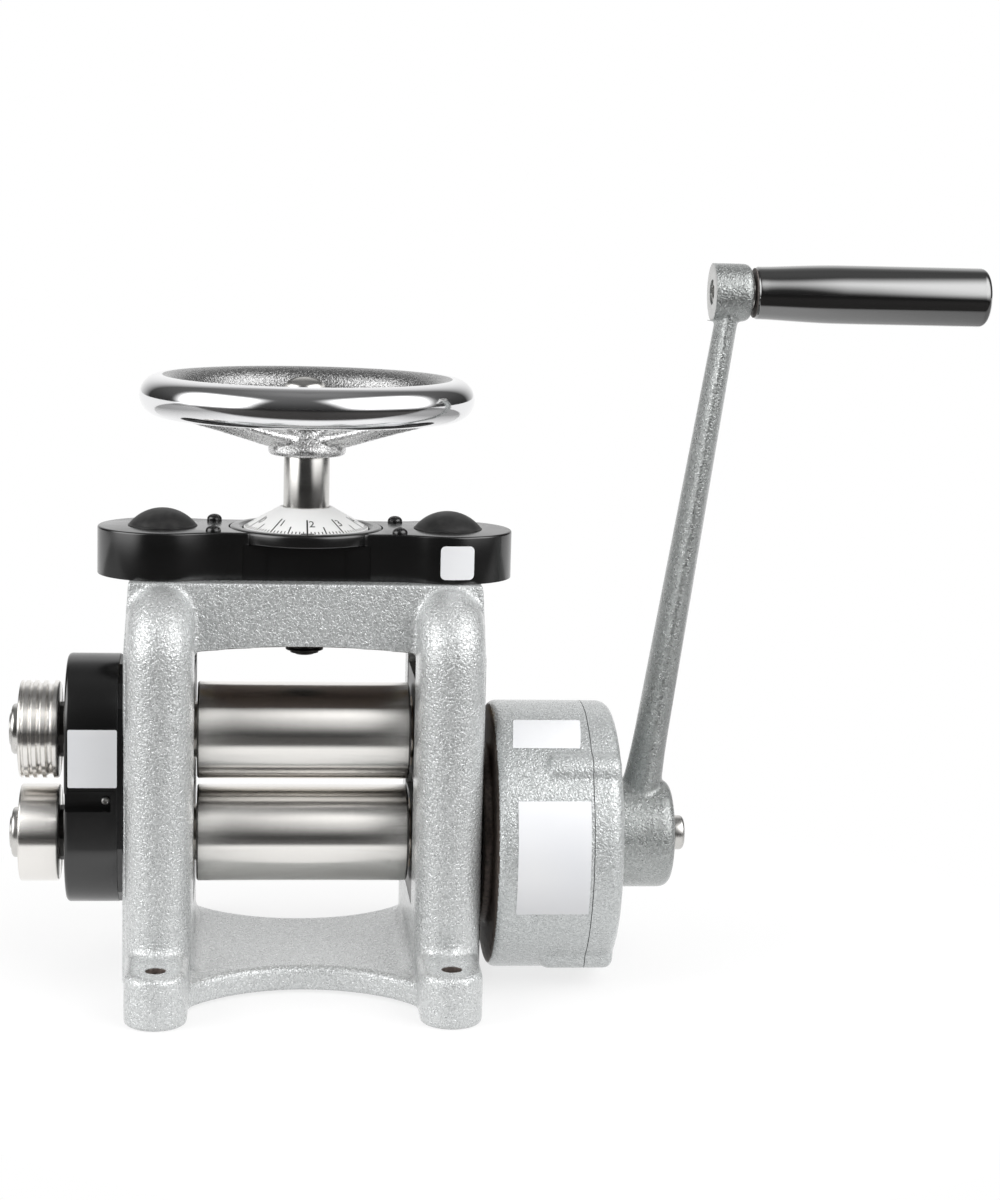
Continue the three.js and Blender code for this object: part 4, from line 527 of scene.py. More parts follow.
def base_plate():
    half, inner, waist, shoulder = 95, 68.5, 54.6, 90.6
    drop = shoulder - waist
    radius = (inner ** 2 + drop ** 2) / (2 * drop)
    sweep = math.degrees(math.asin(inner / radius))
    outline = [(-half, -shoulder)] + arc(0, -waist - radius, radius, 90 + sweep, 90 - sweep, 28)
    outline += [(half, -shoulder), (half, shoulder)]
    outline += arc(0, waist + radius, radius, sweep - 90, -sweep - 90, 28) + [(-half, shoulder)]
    return prism(outline, PLATE_FOOT, PLATE_TOP, 2, 4)


def bridge():
    half, side_z, rise = INNER_FACE + 4, 207.8, 3.7
    under = [(x, side_z + rise * (1 - (x / INNER_FACE) ** 2)) for x in np.linspace(-half, half, 21)]
    return prism(under + [(half, FRAME_TOP), (-half, FRAME_TOP)], -WEB_Y, WEB_Y, axis="y")


def web(side):
    rows = []
    for z, taper in ((PLATE_FOOT, 0), (205, 0), (FRAME_TOP, 3)):
        inner, outer = side * INNER_FACE, side * (OUTER_FACE - taper)
        rows.append([(inner, -WEB_Y, z), (outer, -WEB_Y, z), (outer, WEB_Y, z), (inner, WEB_Y, z)])
    return loft(rows)


# Painted shade: the dark iron colour instead of paint on the faces that the test picks
def paint_shade_on_faces(piece, picked):
    piece.data.materials.append(BARE_IRON_AND_SHADE)
    for face in piece.data.polygons:
        x, y, z = (1000 * value for value in face.center)
        if picked(x - ROW_SHIFT, y, z, face.normal):
            face.material_index = 1


def build_frame():
    solids = [base_plate(), bridge()]
    cuts = []
    for _, side in SIDES:
        solids += [web(side), web_fillet(side)]
        for front in (-1, 1):
            pad, hole = foot(side, front)
            solids += [column(side, front), pad]
            cuts.append(hole)
        x0, x1 = sorted((side * (INNER_FACE - 3), side * (OUTER_FACE + 3)))
        slot = rounded([(-37, 50), (37, 50), (37, 207), (-37, 207)], [4] * 4, 4, closed=True)
        cuts.append(prism(slot, x0, x1, axis="x"))
        cuts.append(prism(arc(side * SCREW_X, 0, 17.6, 0, 360, 40)[:-1], 200, 260))
    body = cast("frame_body", solids, PAINT, "frame", "frame_casting", "hammered_paint", 1.3, 8, 0.35, cuts)
    # Painted shade: the dark colour on the bridge's underside, above the rolls.
    paint_shade_on_faces(body, lambda x, y, z, normal: abs(x) < 66 and z > 180 and normal.z < -0.8)


build_frame()

for front, end in ((-1, "front"), (1, "rear")):
    for name, side in SIDES:
        bore = lathe(ring_profile(5.7, 6.24, 0.6, 31.2, [0.1] * 4), "z",
                     (side * COLUMN_X, FOOT_HOLE_Y * front, 0), 48)
        add_object(f"foot_bore_{end}_{name}", bore, BARE_IRON_AND_SHADE, "frame", None, "hammered_paint")


# Rolls, extension rolls, return springs and end caps

EXT_LEFT, EXT_RIGHT = -172.7, -148.6


def roll(name, z, body, node, right):
    radius, half, edge = 30, 65.0, 1.0
    journal, end, shaft, seat, left = 17.5, 107.0, 14.0, 12.0, -172.4
    profile = [(0, left), (seat, left), (seat, EXT_RIGHT), (shaft, EXT_RIGHT), (shaft, -end),
               (journal, -end), (journal, -half), (radius - edge, -half), (radius, -half + edge),
               (radius, half - edge), (radius - edge, half), (journal, half), (journal, end)]
    profile += [(shaft, end), (shaft, right), (0, right)] if right else [(0, end)]
    solid = lathe(rounded(profile, [0] * 8 + [0.6] * 2 + [0] * 9, 2), "x", (0, 0, z), 128)
    add_object(name, solid, GROUND, body, node, "ground_steel", 25)


roll("lower_roll_ground", LOWER_Z, "lower_shaft", "lower_roll", 132.7)
roll("upper_roll_ground", UPPER_Z, "upper_shaft", "upper_roll", 0)


# Grooves are given by how far each lies from the left face, and its width
def extension(name, z, body, node, grooves):
    inner, outer, edge = 12.3, 30, 1.4
    profile = [(inner, EXT_LEFT), (outer, EXT_LEFT)]
    for offset, width in grooves:
        profile += [(outer - width / 2 * math.sin(a), EXT_LEFT + offset - width / 2 * math.cos(a))
                    for a in np.linspace(0, math.pi, 9)]
    profile += [(outer, EXT_RIGHT), (inner, EXT_RIGHT)]
    radii = [0, edge] + [0] * (len(profile) - 4) + [edge, 0]
    add_object(name, lathe(rounded(profile, radii, 4), "x", (0, 0, z), 128), GROUND, body, node,
               "ground_steel", 40)


extension("lower_extension_ring", LOWER_Z, "lower_shaft", "lower_extension_roll", [])
extension("upper_extension_ring", UPPER_Z, "upper_shaft", "upper_extension_roll",
          [(2.6, 2.0), (7.4, 2.6), (12.6, 3.4), (18.7, 4.4)])


# Return springs between the chocks: wire coils with closed ends
def build_springs():
    foot, head, coil, wire, travel = 100.35, 138.6, 3.8, 0.75, 5.0
    turns, closed, tight, steps = 6, 1, 1.6, 20
    rise = head - foot - 2 * wire
    pitch = (rise - 2 * closed * tight) / (turns - 2 * closed)
    rings = []
    for k in range(turns * steps + 1):
        turn = k / steps
        active = min(max(turn - closed, 0), turns - 2 * closed)
        out = Vector((*polar(1, 2 * math.pi * turn), 0))
        height = foot + wire + tight * (turn - active) + pitch * active
        middle = out * coil + Vector((0, 0, height))
        rings.append([middle + out * wire * math.cos(t) + Vector((0, 0, wire * math.sin(t)))
                      for t in angles(10)])
    for name, side in SIDES:
        for end, y in (("front", -29), ("rear", 29)):
            solid = loft([[p + Vector((side * SCREW_X, y, 0)) for p in ring] for ring in rings])
            spring = add_object(f"return_spring_{end}_{name}_wire", solid, TURNED, "frame",
                                f"return_spring_{end}_{name}", "turned_steel", 0)
            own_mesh(spring)


build_springs()


# A turned piece about X or Z with a six-sided socket cut into it from one level to another
def socketed(name, profile, axis, centre, across, low, high, material, body, node, slot, segments=64):
    cx, cy, cz = centre
    flat = [polar(across / math.sqrt(3), math.radians(60 * k + 30)) for k in range(6)]
    if axis == "z":
        tool = prism([(x + cx, y + cy) for x, y in flat], cz + low, cz + high)
    else:
        tool = prism([(x + cy, y + cz) for x, y in flat], cx + low, cx + high, axis="x")
    boolean_piece(name, lathe(profile, axis, centre, segments), [(CUT, tool)], material, body, node, slot, 35)


def end_cap(name, z, body, node):
    face, seat = -179.3, -172.8
    profile = [(0, face + 2.6), (3.6, face + 2.6), (4.3, face + 0.4), (5.2, face + 0.2),
               (9.6, face + 0.2), (10.4, face + 1.2), (11.2, face + 1.4), (15.5, face + 1.4),
               (15.5, seat), (0, seat)]
    radii = [0, 0, 0.3, 0.3, 0.6, 0.4, 0.3, 2.2, 0.4, 0]
    add_object(name, lathe(rounded(profile, radii, 4), "x", (0, 0, z)), TURNED_X, body, node,
               "turned_steel", 35)


end_cap("lower_end_cap_turned", LOWER_Z, "lower_shaft", "lower_end_cap")
end_cap("upper_end_cap_turned", UPPER_Z, "upper_shaft", "upper_end_cap")


# Gearbox

def gearbox_bosses(low, high, low_edge, high_edge):
    radius = 11
    orbit = GEARBOX_R + 4.2 - radius
    made = []
    for angle in (47, 147, 213, 313):
        a = math.radians(angle)
        centre = (0, -orbit * math.sin(a), LOWER_Z + orbit * math.cos(a))
        made.append(rod(radius, low, high, "x", centre, 32, (low_edge, high_edge), 5))
    return made


# Both castings run past the seam, and are then cut off there, so that its edges stay sharp
def build_gearbox():
    back, seam, past, nose = 109.3, 173.1, 4, 114.8
    case = lathe(rounded([(0, back), (55, back), (55, nose), (GEARBOX_R, nose), (GEARBOX_R, seam + past),
                          (0, seam + past)], [0, 0, 0, 5.5, 0, 0], 6), "x", LOWER_AXIS, 160)
    cover = rod(GEARBOX_R, seam - past, 192, "x", LOWER_AXIS, 160, (0, 8.5), 8)
    hole = rod(24, 108, 120.8, "x", LOWER_AXIS)
    bore = rod(18, 165, 195, "x", LOWER_AXIS)
    beyond = box(seam - 0.25, -110, -20, seam + 9, 110, 190)
    before = box(seam - 9, -110, -20, seam + 0.25, 110, 190)
    # The case and its cover take the darker copy of the paint, as painted shade.
    skin = cast("gearbox_case_skin", [case] + gearbox_bosses(146, seam + past, 5, 0), CASE_PAINT_SHADED, "frame",
                "gearbox_case", "hammered_paint", 1.1, 6, 0.3, [hole, beyond])
    # Painted shade: the dark colour on the case's back face and round its nose, in the gap against the frame.
    paint_shade_on_faces(skin, lambda x, y, z, normal: x < 117 and (normal.x < -0.8 or math.hypot(y, z - LOWER_Z) < 57))
    cast("gearbox_cover_skin", [cover] + gearbox_bosses(seam - past, 191, 0, 5), CASE_PAINT_SHADED, "frame",
         "gearbox_cover", "hammered_paint", 1.1, 6, 0.3, [bore, before])


build_gearbox()


# Crank

def build_crank():
    hub = rod(34, 194, 231, "x", LOWER_AXIS, 96, (3, 7))
    boss = rod(17.7, 243, 270, "x", HANDLE_AXIS, 64, (0, 5))
    root, tip = Vector((208.5, 0, LOWER_Z)), Vector((258, 0, HANDLE_Z))
    across = (tip - root).normalized().cross(Vector((0, 1, 0)))
    root_width, tip_width, root_depth, tip_depth, square = 22.6, 13.4, 36, 25, 1.15
    rings = []
    for k in range(25):
        share = 0.04 + 0.93 * k / 24
        near = max(0.0, 1 - share / 0.2)
        middle = root.lerp(tip, share)
        width = (root_width + (tip_width - root_width) * share) / 2 + 5.5 * near ** 2.2
        depth = (root_depth + (tip_depth - root_depth) * share) / 2 + 5 * near ** 2
        ring = []
        for a in angles(32):
            c, s = math.cos(a), math.sin(a)
            ring.append(middle - across * width * math.copysign(abs(c) ** square, c)
                        + Vector((0, depth * math.copysign(abs(s) ** square, s), 0)))
        rings.append(ring)
    bore = rod(12.9, 222, 240, "x", LOWER_AXIS)
    stud = rod(7.7, 242, 248.5, "x", HANDLE_AXIS)
    faced = box(236, -25, HANDLE_Z - 17.2, 246.2, 25, HANDLE_Z + 25)
    # The crank takes the darkest copy of the paint, as painted shade.
    cast("crank_casting", [hub, boss, loft(rings)], CRANK_PAINT_SHADED, "crank", "crank_arm", "hammered_paint",
         1.0, 9, 0.35, [bore, stud, faced])
    face = lathe(ring_profile(7.7, 17.2, 246.0, 246.6, [0.1, 0.3, 0, 0]), "x", HANDLE_AXIS)
    add_object("crank_boss_face", face, FACED, "crank", None, "hammered_paint")
    washer = lathe(ring_profile(5.3, 13.3, 231.1, 233.6), "x", LOWER_AXIS, 64)
    add_object("crank_washer_turned", washer, DARK, "crank", "crank_washer", "dark_steel", 35)
    head = rounded([(0, 210), (5, 210), (5, 233.7), (10.8, 233.7), (10.8, 240.2), (0, 240.2)],
                   [0, 0, 0, 0.4, 2.6, 0], 5)
    socketed("crank_bolt_turned", head, "x", LOWER_AXIS, 8, 236, 242, TURNED_X, "crank", "crank_bolt",
             "turned_steel")


build_crank()


def build_grip():
    left, right, radius, neck = 272.0, 418.0, 18.05, 16.1
    profile = [(0, 407), (6.3, 407), (6.3, left), (14.6, left), (neck, left + 1.6)]
    profile += [(neck + 1.9 * math.sin(math.pi / 2 * t) ** 1.3, left + 4 + 52 * t)
                for t in np.linspace(0, 1, 14)]
    profile += [(radius, left + 70), (radius, right), (0, right)]
    radii = [0, 0, 0, 0.5, 1.2] + [0] * 14 + [0, 4.8, 0]
    add_object("grip_turned", lathe(rounded(profile, radii, 8), "x", HANDLE_AXIS, 128), GLOSS, "grip",
               "grip", "black_gloss")
    # The end face, with painted reflection in its colour.
    verts, faces = lathe(ring_profile(6.4, 15.2, left, left + 0.6, [0.1] * 4), "x", HANDLE_AXIS)
    add_object("grip_end_face", ([(x - 0.06, y, z) for x, y, z in verts], faces), GRIP_END_AND_SHEEN, "grip", None,
               "black_gloss")
    profile = [(0, 246.9), (7.3, 246.9), (7.3, 270.3), (10, 270.3), (10, 271.7), (6, 271.7), (6, 406),
               (0, 406)]
    socketed("grip_rod_turned", rounded(profile, [0, 1, 0, 0.3, 0.3, 0, 0.6, 0], 3), "x", HANDLE_AXIS, 8,
             240, 252, TURNED_X, "crank", "grip_rod", "turned_steel")


build_grip()


# Side cover and its screw

def obround(radius, low, high, steps=32):
    return arc(0, high, radius, 0, 180, steps) + arc(0, low, radius, 180, 360, steps)


def build_side_cover():
    upper_lobe = UPPER_Z + 4.5
    shell = prism(obround(42.5, LOWER_Z, upper_lobe), -144, -112, 2.6, 0.3, "x", 5)
    hollow = prism(obround(39.5, LOWER_Z, upper_lobe), -141, -111, axis="x")
    lower_hole = rod(18.2, -146, -138, "x", LOWER_AXIS, 64)
    upper_hole = prism(obround(18.2, 147, 153, 24), -146, -138, axis="x")
    recess = box(-147, -46, 110, -116, -33.5, 121)
    lining = box(-142, -43, 108.2, -114.2, -31.7, 122.8)
    boolean_piece("side_cover_moulding", shell,
                  [(CUT, hollow), (CUT, lower_hole), (CUT, upper_hole), (ADD, lining), (CUT, recess)],
                  BLACK, "frame", "side_cover", "black_plastic")
    profile = rounded([(0, -0.4), (2.6, -0.4), (2.6, 1.3), (1.3, 1.9), (0.9, 0.9), (0, 0.9)],
                      [0, 0, 0.7, 0.3, 0.1, 0], 3)
    verts, faces = lathe(profile, segments=32)
    add_object("side_cover_screw", ([(-119.3 + x, -33.5 - z, 114.9 + y) for x, y, z in verts], faces),
               TURNED, "frame", None, "turned_steel", 40)


build_side_cover()


# Top cover, bezel, caps and screws

def cover_outline(inset_by=0.0, steps=40):
    lobe, waist, fillet = LOBE_R - inset_by, WAIST_Y - inset_by, 60 + inset_by
    apart = math.sqrt((lobe + fillet) ** 2 - (waist + fillet) ** 2)
    fx = SCREW_X - apart
    lean = math.degrees(math.atan2(waist + fillet, apart))
    points = arc(SCREW_X, 0, lobe, lean - 180, 180 - lean, steps)
    points += arc(fx, waist + fillet, fillet, -lean, -90, 10)[1:]
    points += arc(-fx, waist + fillet, fillet, -90, lean - 180, 10)
    points += arc(-SCREW_X, 0, lobe, lean, 360 - lean, steps)[1:]
    points += arc(-fx, -waist - fillet, fillet, 180 - lean, 90, 10)[1:]
    points += arc(fx, -waist - fillet, fillet, 90, lean, 10)[:-1]
    return points


def build_top_cover():
    outer = prism(cover_outline(), FRAME_TOP, COVER_TOP, 0.2, 1.3)
    steps = [(CUT, prism(cover_outline(3), FRAME_TOP - 1, COVER_TOP - 3))]
    fillet, ring = 6.0, 46.9
    reach = math.sqrt((ring + fillet) ** 2 - (WAIST_Y + fillet) ** 2)
    turn = math.degrees(math.atan2(WAIST_Y + fillet, reach))
    curve = arc(reach, -WAIST_Y - fillet, fillet, 90, 180 - turn, 8) + [(22, -26), (reach, -26)]
    for front in (-1, 1):
        for _, side in SIDES:
            outline = [(side * x, -front * y) for x, y in curve]
            steps.append((ADD, prism(outline, 271.6, COVER_TOP, 0.8, 1.2)))
    for _, side in SIDES:
        for y in (-COVER_SCREW_Y, COVER_SCREW_Y):
            steps.append((ADD, rod(4.5, FRAME_TOP + 0.1, 277, "z", (side * COVER_SCREW_X, y, 0), 24)))
    steps.append((CUT, rod(47.2, 271.5, 290, "z", segments=128)))
    steps.append((CUT, box(-38.5, -60, 240, 38.5, -30.7, 271.4)))
    for x in (-24, 24):
        steps.append((ADD, box(x - 0.35, -31.3, FRAME_TOP + 0.6, x + 0.35, -30, 271.2)))
    for _, side in SIDES:
        steps.append((CUT, rod(14, 274, 290, "z", (side * SCREW_X, 0, 0))))
    boolean_piece("top_cover_moulding", outer, steps, BLACK, "frame", "top_cover", "black_plastic")


build_top_cover()


def build_bezel():
    profile = [(29.5, 271.8), (46.9, 271.8), (46.9, 279.8), (41.4, 279.8), (38.9, 278.4),
               (38.7, 273.8), (29.5, 273.8)]
    ring = lathe(rounded(profile, [0, 1, 2.3, 1.2, 0.3, 0.2, 0], 5, True), segments=160)
    tab = prism([(-4.3, -42.5), (4.3, -42.5), (3.9, -37.6), (-3.9, -37.6)], 278.3, 280, 0.2, 0.5)
    add_object("dial_bezel_ring", joined(ring, tab), BLACK, "frame", "dial_bezel", "black_plastic", 35)


build_bezel()


def build_caps():
    half, rise, plug = 21, 10.7, 13.7
    radius = (half ** 2 + rise ** 2) / (2 * rise)
    middle = COVER_TOP + rise - radius
    start = math.degrees(math.acos(20.6 / radius))
    profile = [(0, 275), (plug, 275), (plug, COVER_TOP), (half, COVER_TOP), (half, COVER_TOP + 0.4)]
    profile += [polar(radius, math.radians(a), 0, middle) for a in np.linspace(start, 90, 18)]
    profile[-1] = (0, COVER_TOP + rise)
    for name, side in SIDES:
        add_object(f"cover_cap_{name}_dome", lathe(profile, "z", (side * SCREW_X, 0, 0)), RUBBER, "frame",
                   f"cover_cap_{name}", "black_rubber", 40)


build_caps()


def build_cover_screws():
    radius = 4.6
    profile = [(0, -0.8), (radius, -0.8)]
    profile += [(radius * math.cos(a), 3.4 * math.sin(a)) for a in np.linspace(0.12, 1.1, 9)]
    profile.append((0, 3.2))
    for name, side in SIDES:
        for y, end in ((-COVER_SCREW_Y, "front"), (COVER_SCREW_Y, "rear")):
            centre = (side * COVER_SCREW_X, y, COVER_TOP + 0.6)
            socketed(f"cover_screw_{end}_{name}", profile, "z", centre, 3, 1, 6, BLACK, "frame", None,
                     "dark_steel", 48)


build_cover_screws()


# Spindle, dial and handwheel

def build_spindle():
    profile = [(0, 201.6), (8, 201.6), (8.5, 202.2), (8.5, 269.6), (14, 269.6), (14, 323), (9, 323),
               (9, 345.7), (0, 345.7)]
    spindle = lathe(rounded(profile, [0, 0, 0, 0, 0.3, 0.5, 0, 0.5, 0], 3))
    add_object("spindle_turned", spindle, SPINDLE, WHEEL_BODY, "spindle", "turned_steel")
    profile = [(0, 200.2), (5.6, 200.2), (9, 202.9), (11.6, 203.1), (11.6, 204), (10, 204.6),
               (10, 207.6), (8.7, 207.6), (8.7, 201.4), (0, 201.4)]
    nut = lathe(rounded(profile, [0, 0.6, 0.4, 0.3, 0.3, 0.3, 0.3, 0, 0, 0], 3), segments=64)
    add_object("spindle_nut_hex", nut, DARK, WHEEL_BODY, "spindle_nut", "dark_steel")
    ring = lathe(ring_profile(8.8, 12.9, 208.0, 209.4), segments=64)
    add_object("thrust_washer_turned", ring, DARK, WHEEL_BODY, "thrust_washer", "dark_steel")


build_spindle()

dial_profile = [(14.3, 276), (38, 276), (38, 279), (16, DIAL_TOP), (14.3, DIAL_TOP)]
add_object("dial_cone", lathe(rounded(dial_profile, [0, 0.3, 0.3, 0.6, 0.2], 2, True), segments=160), WHITE,
           WHEEL_BODY, "dial", "white_plastic")


def dial_radius(up):
    return DIAL_R0 + (DIAL_R1 - DIAL_R0) * up / DIAL_SLANT


def on_dial(around, up, lift=0.05):
    out = Vector((DIAL_TOP - COVER_TOP, DIAL_R0 - DIAL_R1)).normalized() * lift
    height = COVER_TOP + (DIAL_TOP - COVER_TOP) * (up / DIAL_SLANT) + out.y
    radius = DIAL_R0 + (DIAL_R1 - DIAL_R0) * (up / DIAL_SLANT) + out.x
    return *polar(radius, -math.pi / 2 + around), height


def dial_marks():
    verts, faces = [], []
    for k, angle in enumerate(angles(100)):
        high, width = (14.6, 0.95) if k % 10 == 0 else (7.6, 0.8) if k % 5 == 0 else (2.9, 0.62)
        start = len(verts)
        for up in (0.6, high):
            verts += [on_dial(angle + side * width / 2 / dial_radius(up), up) for _, side in SIDES]
        faces.append([start, start + 1, start + 3, start + 2])
    for k, angle in enumerate(angles(10)):
        number = (k + 1) % 10 + 1
        text = bpy.data.curves.new(f"number_{number}", "FONT")
        text.body = str(number % 10)
        text.size = 9.2
        text.align_x = "LEFT"
        text.offset = 0.012
        text.resolution_u = 3
        holder = new_object(f"number_{number}", text)
        flat = evaluated_mesh(holder)
        start = len(verts)
        radius = dial_radius(11)
        verts += [on_dial(angle + (vertex.co.x * 0.8 + 0.9) / radius, 7.6 + vertex.co.y * 0.95, 0.06)
                  for vertex in flat.vertices]
        faces += [[i + start for i in polygon.vertices] for polygon in flat.polygons]
        bpy.data.objects.remove(holder)
        bpy.data.meshes.remove(flat)
    mesh = new_mesh("dial_marks", verts, faces)
    mesh.materials.append(INK)
    piece = new_object("dial_marks", mesh)
    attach(piece, WHEEL_BODY)


dial_marks()


def spoke(direction):
    foot, tip, foot_z, tip_z = 12, RIM_R - 3, WHEEL_FOOT + 9.5, RIM_Z - 4
    rings = []
    for i in range(21):
        share = i / 20
        rest = 1 - share
        reach = foot + (tip - foot) * share
        height = foot_z + (tip_z - foot_z) * share ** 1.2
        width = 12.5 * rest ** 2 + 2 * 8.2 * share * rest + 14.5 * share ** 2
        thick = 6.5 * rest ** 2 + 2 * 3.4 * share * rest + 7 * share ** 2
        ring = []
        for a in angles(32):
            across = width * math.cos(a)
            rib = 1.6 * math.exp(-(across / 2.6) ** 2) - 1.0 * math.exp(-((abs(across) - 6) / 2.2) ** 2)
            ring.append((reach * math.cos(direction) - across * math.sin(direction),
                         reach * math.sin(direction) + across * math.cos(direction),
                         height + thick * math.sin(a) - (rib if a > math.pi else 0)))
        rings.append(ring)
    return loft(rings)


def build_handwheel():
    directions = [math.radians(90 + 120 * k) for k in range(3)]

    # Part of the rim's round skin, from one angle of its section on
    def band(name, start, sweep, steps, material, node):
        profile = [polar(RIM_TUBE, math.radians(start + sweep * k / steps), RIM_R, RIM_Z)
                   for k in range(steps + 1)]
        verts, faces = lathe(profile + [(RIM_R, RIM_Z)], segments=192)
        last = len(profile) * 192
        add_object(name, (verts[:last], [f for f in faces if max(f) < last]), material, WHEEL_BODY, node,
                   "wheel_chrome", 0)
    band("handwheel_rim", -112, 208, 72, CHROME, "handwheel")
    # The rim's inside takes the darker copy of the cast chrome, as painted shade.
    band("handwheel_rim_inside", 96, 152, 48, CAST_RIM_SHADED, None)
    hub = lathe(rounded([(0, WHEEL_FOOT), (23.6, WHEEL_FOOT), (23.6, WHEEL_FOOT + 5),
                         (16, WHEEL_FOOT + 13), (16, WHEEL_HUB_TOP), (0, WHEEL_HUB_TOP)],
                        [0, 2, 2, 5, 1.2, 0], 4))
    ring = lathe([polar(9.6, a, RIM_R, RIM_Z) for a in angles(48)], segments=128)
    bore = rod(9.2, WHEEL_FOOT - 2, WHEEL_FOOT + 26, "z")
    cast("handwheel_casting", [hub, ring] + [spoke(direction) for direction in directions], CAST,
         WHEEL_BODY, None, "wheel_chrome", 1.2, 4, 0.4, [bore])
    dome = [(15 * math.cos(math.radians(a)), 8 * math.sin(math.radians(a))) for a in range(-90, 91, 9)]
    ends = [lathe(dome, "z", (*polar(83, direction), RIM_Z - 1), 48) for direction in directions]
    add_object("handwheel_spoke_ends", joined(*ends), TURNED, WHEEL_BODY, None, "wheel_chrome", 0)
    top = WHEEL_HUB_TOP
    bolt = rounded([(0, top - 14), (4, top - 14), (4, top + 0.4), (11, top + 0.4), (11, top + 2.4),
                    (8.2, top + 5.6), (0, top + 5.6)], [0, 0, 0, 0.3, 1, 1.2, 0], 3)
    socketed("handwheel_bolt_turned", bolt, "z", (0, 0, 0), 8, top + 1.5, top + 7, TURNED, WHEEL_BODY,
             "handwheel_bolt", "turned_steel")


build_handwheel()


# Labels left bare: thin films with rounded corners. The surface under each is given as a function
# of the film's own place.
def film(name, u0, u1, v0, v1, corner, surface):
    steps = 30
    verts, faces = [], []
    for i in range(steps + 1):
        share = i / steps
        u = u0 + (u1 - u0) * (3 * share ** 2 - 2 * share ** 3)
        near = min(u - u0, u1 - u)
        cut = corner - math.sqrt(max(corner ** 2 - (corner - near) ** 2, 0)) if near < corner else 0
        verts += [surface(u, v0 + cut + (v1 - v0 - 2 * cut) * k / steps) for k in range(steps + 1)]
    for i in range(steps):
        for k in range(steps):
            a = i * (steps + 1) + k
            faces.append([a, a + steps + 1, a + steps + 2, a + 1])
    add_object(name, (verts, faces), LABEL, "frame", None, "white_plastic", 0)


def on_gearbox(x, z, lean=0.0):
    return x + lean * (z - 152.4), -math.sqrt((GEARBOX_R + 0.3) ** 2 - (z - LOWER_Z) ** 2), z


def on_side_cover(x, z):
    return x, -math.sqrt(42.64 ** 2 - max(z - UPPER_Z - 4.5, 0) ** 2), z


def on_top_cover(x, z):
    return x, -math.sqrt(39.45 ** 2 - (x - SCREW_X) ** 2), z


film("gearbox_label_upper", 125, 166.4, 152.4, 165.2, 0.8, lambda x, z: on_gearbox(x, z, 0.18))
film("gearbox_label_lower", 127, 171, 55.8, 124.9, 0.5, on_gearbox)
film("side_cover_label", -141.6, -112.3, 124.9, 160.4, 1.0, on_side_cover)
film("top_cover_label", 80.1, 100.5, 252.9, 273.3, 3.0, on_top_cover)


# Camera, light and backdrop, in metres

# The studio round the object: white behind and at the sides, dark in front and above the back
def build_world(scene):
    world = bpy.data.worlds.new("studio")
    scene.world = world
    world.use_nodes = True
    tree = world.node_tree

    def band(source, *stops):
        node = add_node(tree, "ValToRGB", {"Fac": source})
        points = node.color_ramp.elements
        while len(points) < len(stops):
            points.new(0.5)
        for point, (where, level) in zip(points, stops):
            point.position = where
            point.color = (level, level, level, 1)
        return node.outputs["Color"]

    def mixed(factor, first, second):
        return add_node(tree, "Mix", {"Factor": factor, "A": first, "B": second},
                        data_type="RGBA").outputs["Result"]

    split = add_node(tree, "SeparateXYZ", {"Vector": coordinates(tree, "Generated")})
    x, y, z = (split.outputs[name] for name in "XYZ")
    height = math_node(tree, "MULTIPLY_ADD", z, 0.5, 0.5)
    front = band(height, (0.0, 0.3), (0.35, 0.02), (0.483, 0.03), (0.62, 0.06), (0.75, 0.1),
                 (0.866, 0.13), (0.95, 0.16), (1.0, 0.24))
    behind = band(height, (0.0, 1.0), (0.83, 1.0), (0.9, 0.45), (0.98, 0.22), (1.0, 0.2))
    soft_front = band(height, (0.0, 0.1), (0.5, 0.12), (0.8, 0.45), (1.0, 0.9))
    soft_behind = band(height, (0.0, 0.8), (0.6, 1.0), (0.85, 0.95), (1.0, 0.9))
    squares = [math_node(tree, "MULTIPLY", value, value) for value in (x, y)]
    flat = math_node(tree, "SQRT", math_node(tree, "ADD", *squares))
    ahead = math_node(tree, "DIVIDE", math_node(tree, "MULTIPLY", y, -1.0),
                      math_node(tree, "MAXIMUM", flat, 0.001))
    turn = ramp(tree, ahead, 0, 1, -1.0, -0.75)
    path = add_node(tree, "LightPath").outputs
    plain = mixed(path["Is Glossy Ray"], mixed(turn, soft_behind, soft_front), mixed(turn, behind, front))
    seen = math_node(tree, "ADD", path["Is Camera Ray"], path["Is Transmission Ray"], clamp=True)
    fill(tree, tree.nodes["Background"], {"Color": mixed(seen, plain, (1.0, 1.0, 1.0, 1)), "Strength": 1.0})


def build_camera(scene):
    forward = Vector((0.09943, 0.98254, -0.15724)).normalized()
    right = Vector((0.99500, -0.09665, 0.02522))
    right = (right - forward * right.dot(forward)).normalized()
    up = right.cross(forward)
    data = bpy.data.cameras.new("photo_camera")
    data.sensor_fit = "VERTICAL"
    data.sensor_height = 36
    data.sensor_width = 30
    data.lens = 76.94
    data.clip_end = 50
    camera = new_object("photo_camera", data)
    spot = Vector(((-37.5 + ROW_SHIFT) / 1000, -1.5606, 0.4845))
    turn = Matrix((right, up, -forward)).transposed()
    camera.matrix_world = Matrix.Translation(spot) @ turn.to_4x4()
    scene.camera = camera


def staged_sheet(name, x, y0, y1, z, material):
    mesh = bpy.data.meshes.new(name)
    mesh.from_pydata([(-x, y0, z), (x, y0, z), (x, y1, z), (-x, y1, z)], [], [[0, 1, 2, 3]])
    mesh.materials.append(material)
    sheet = new_object(name, mesh)
    return sheet


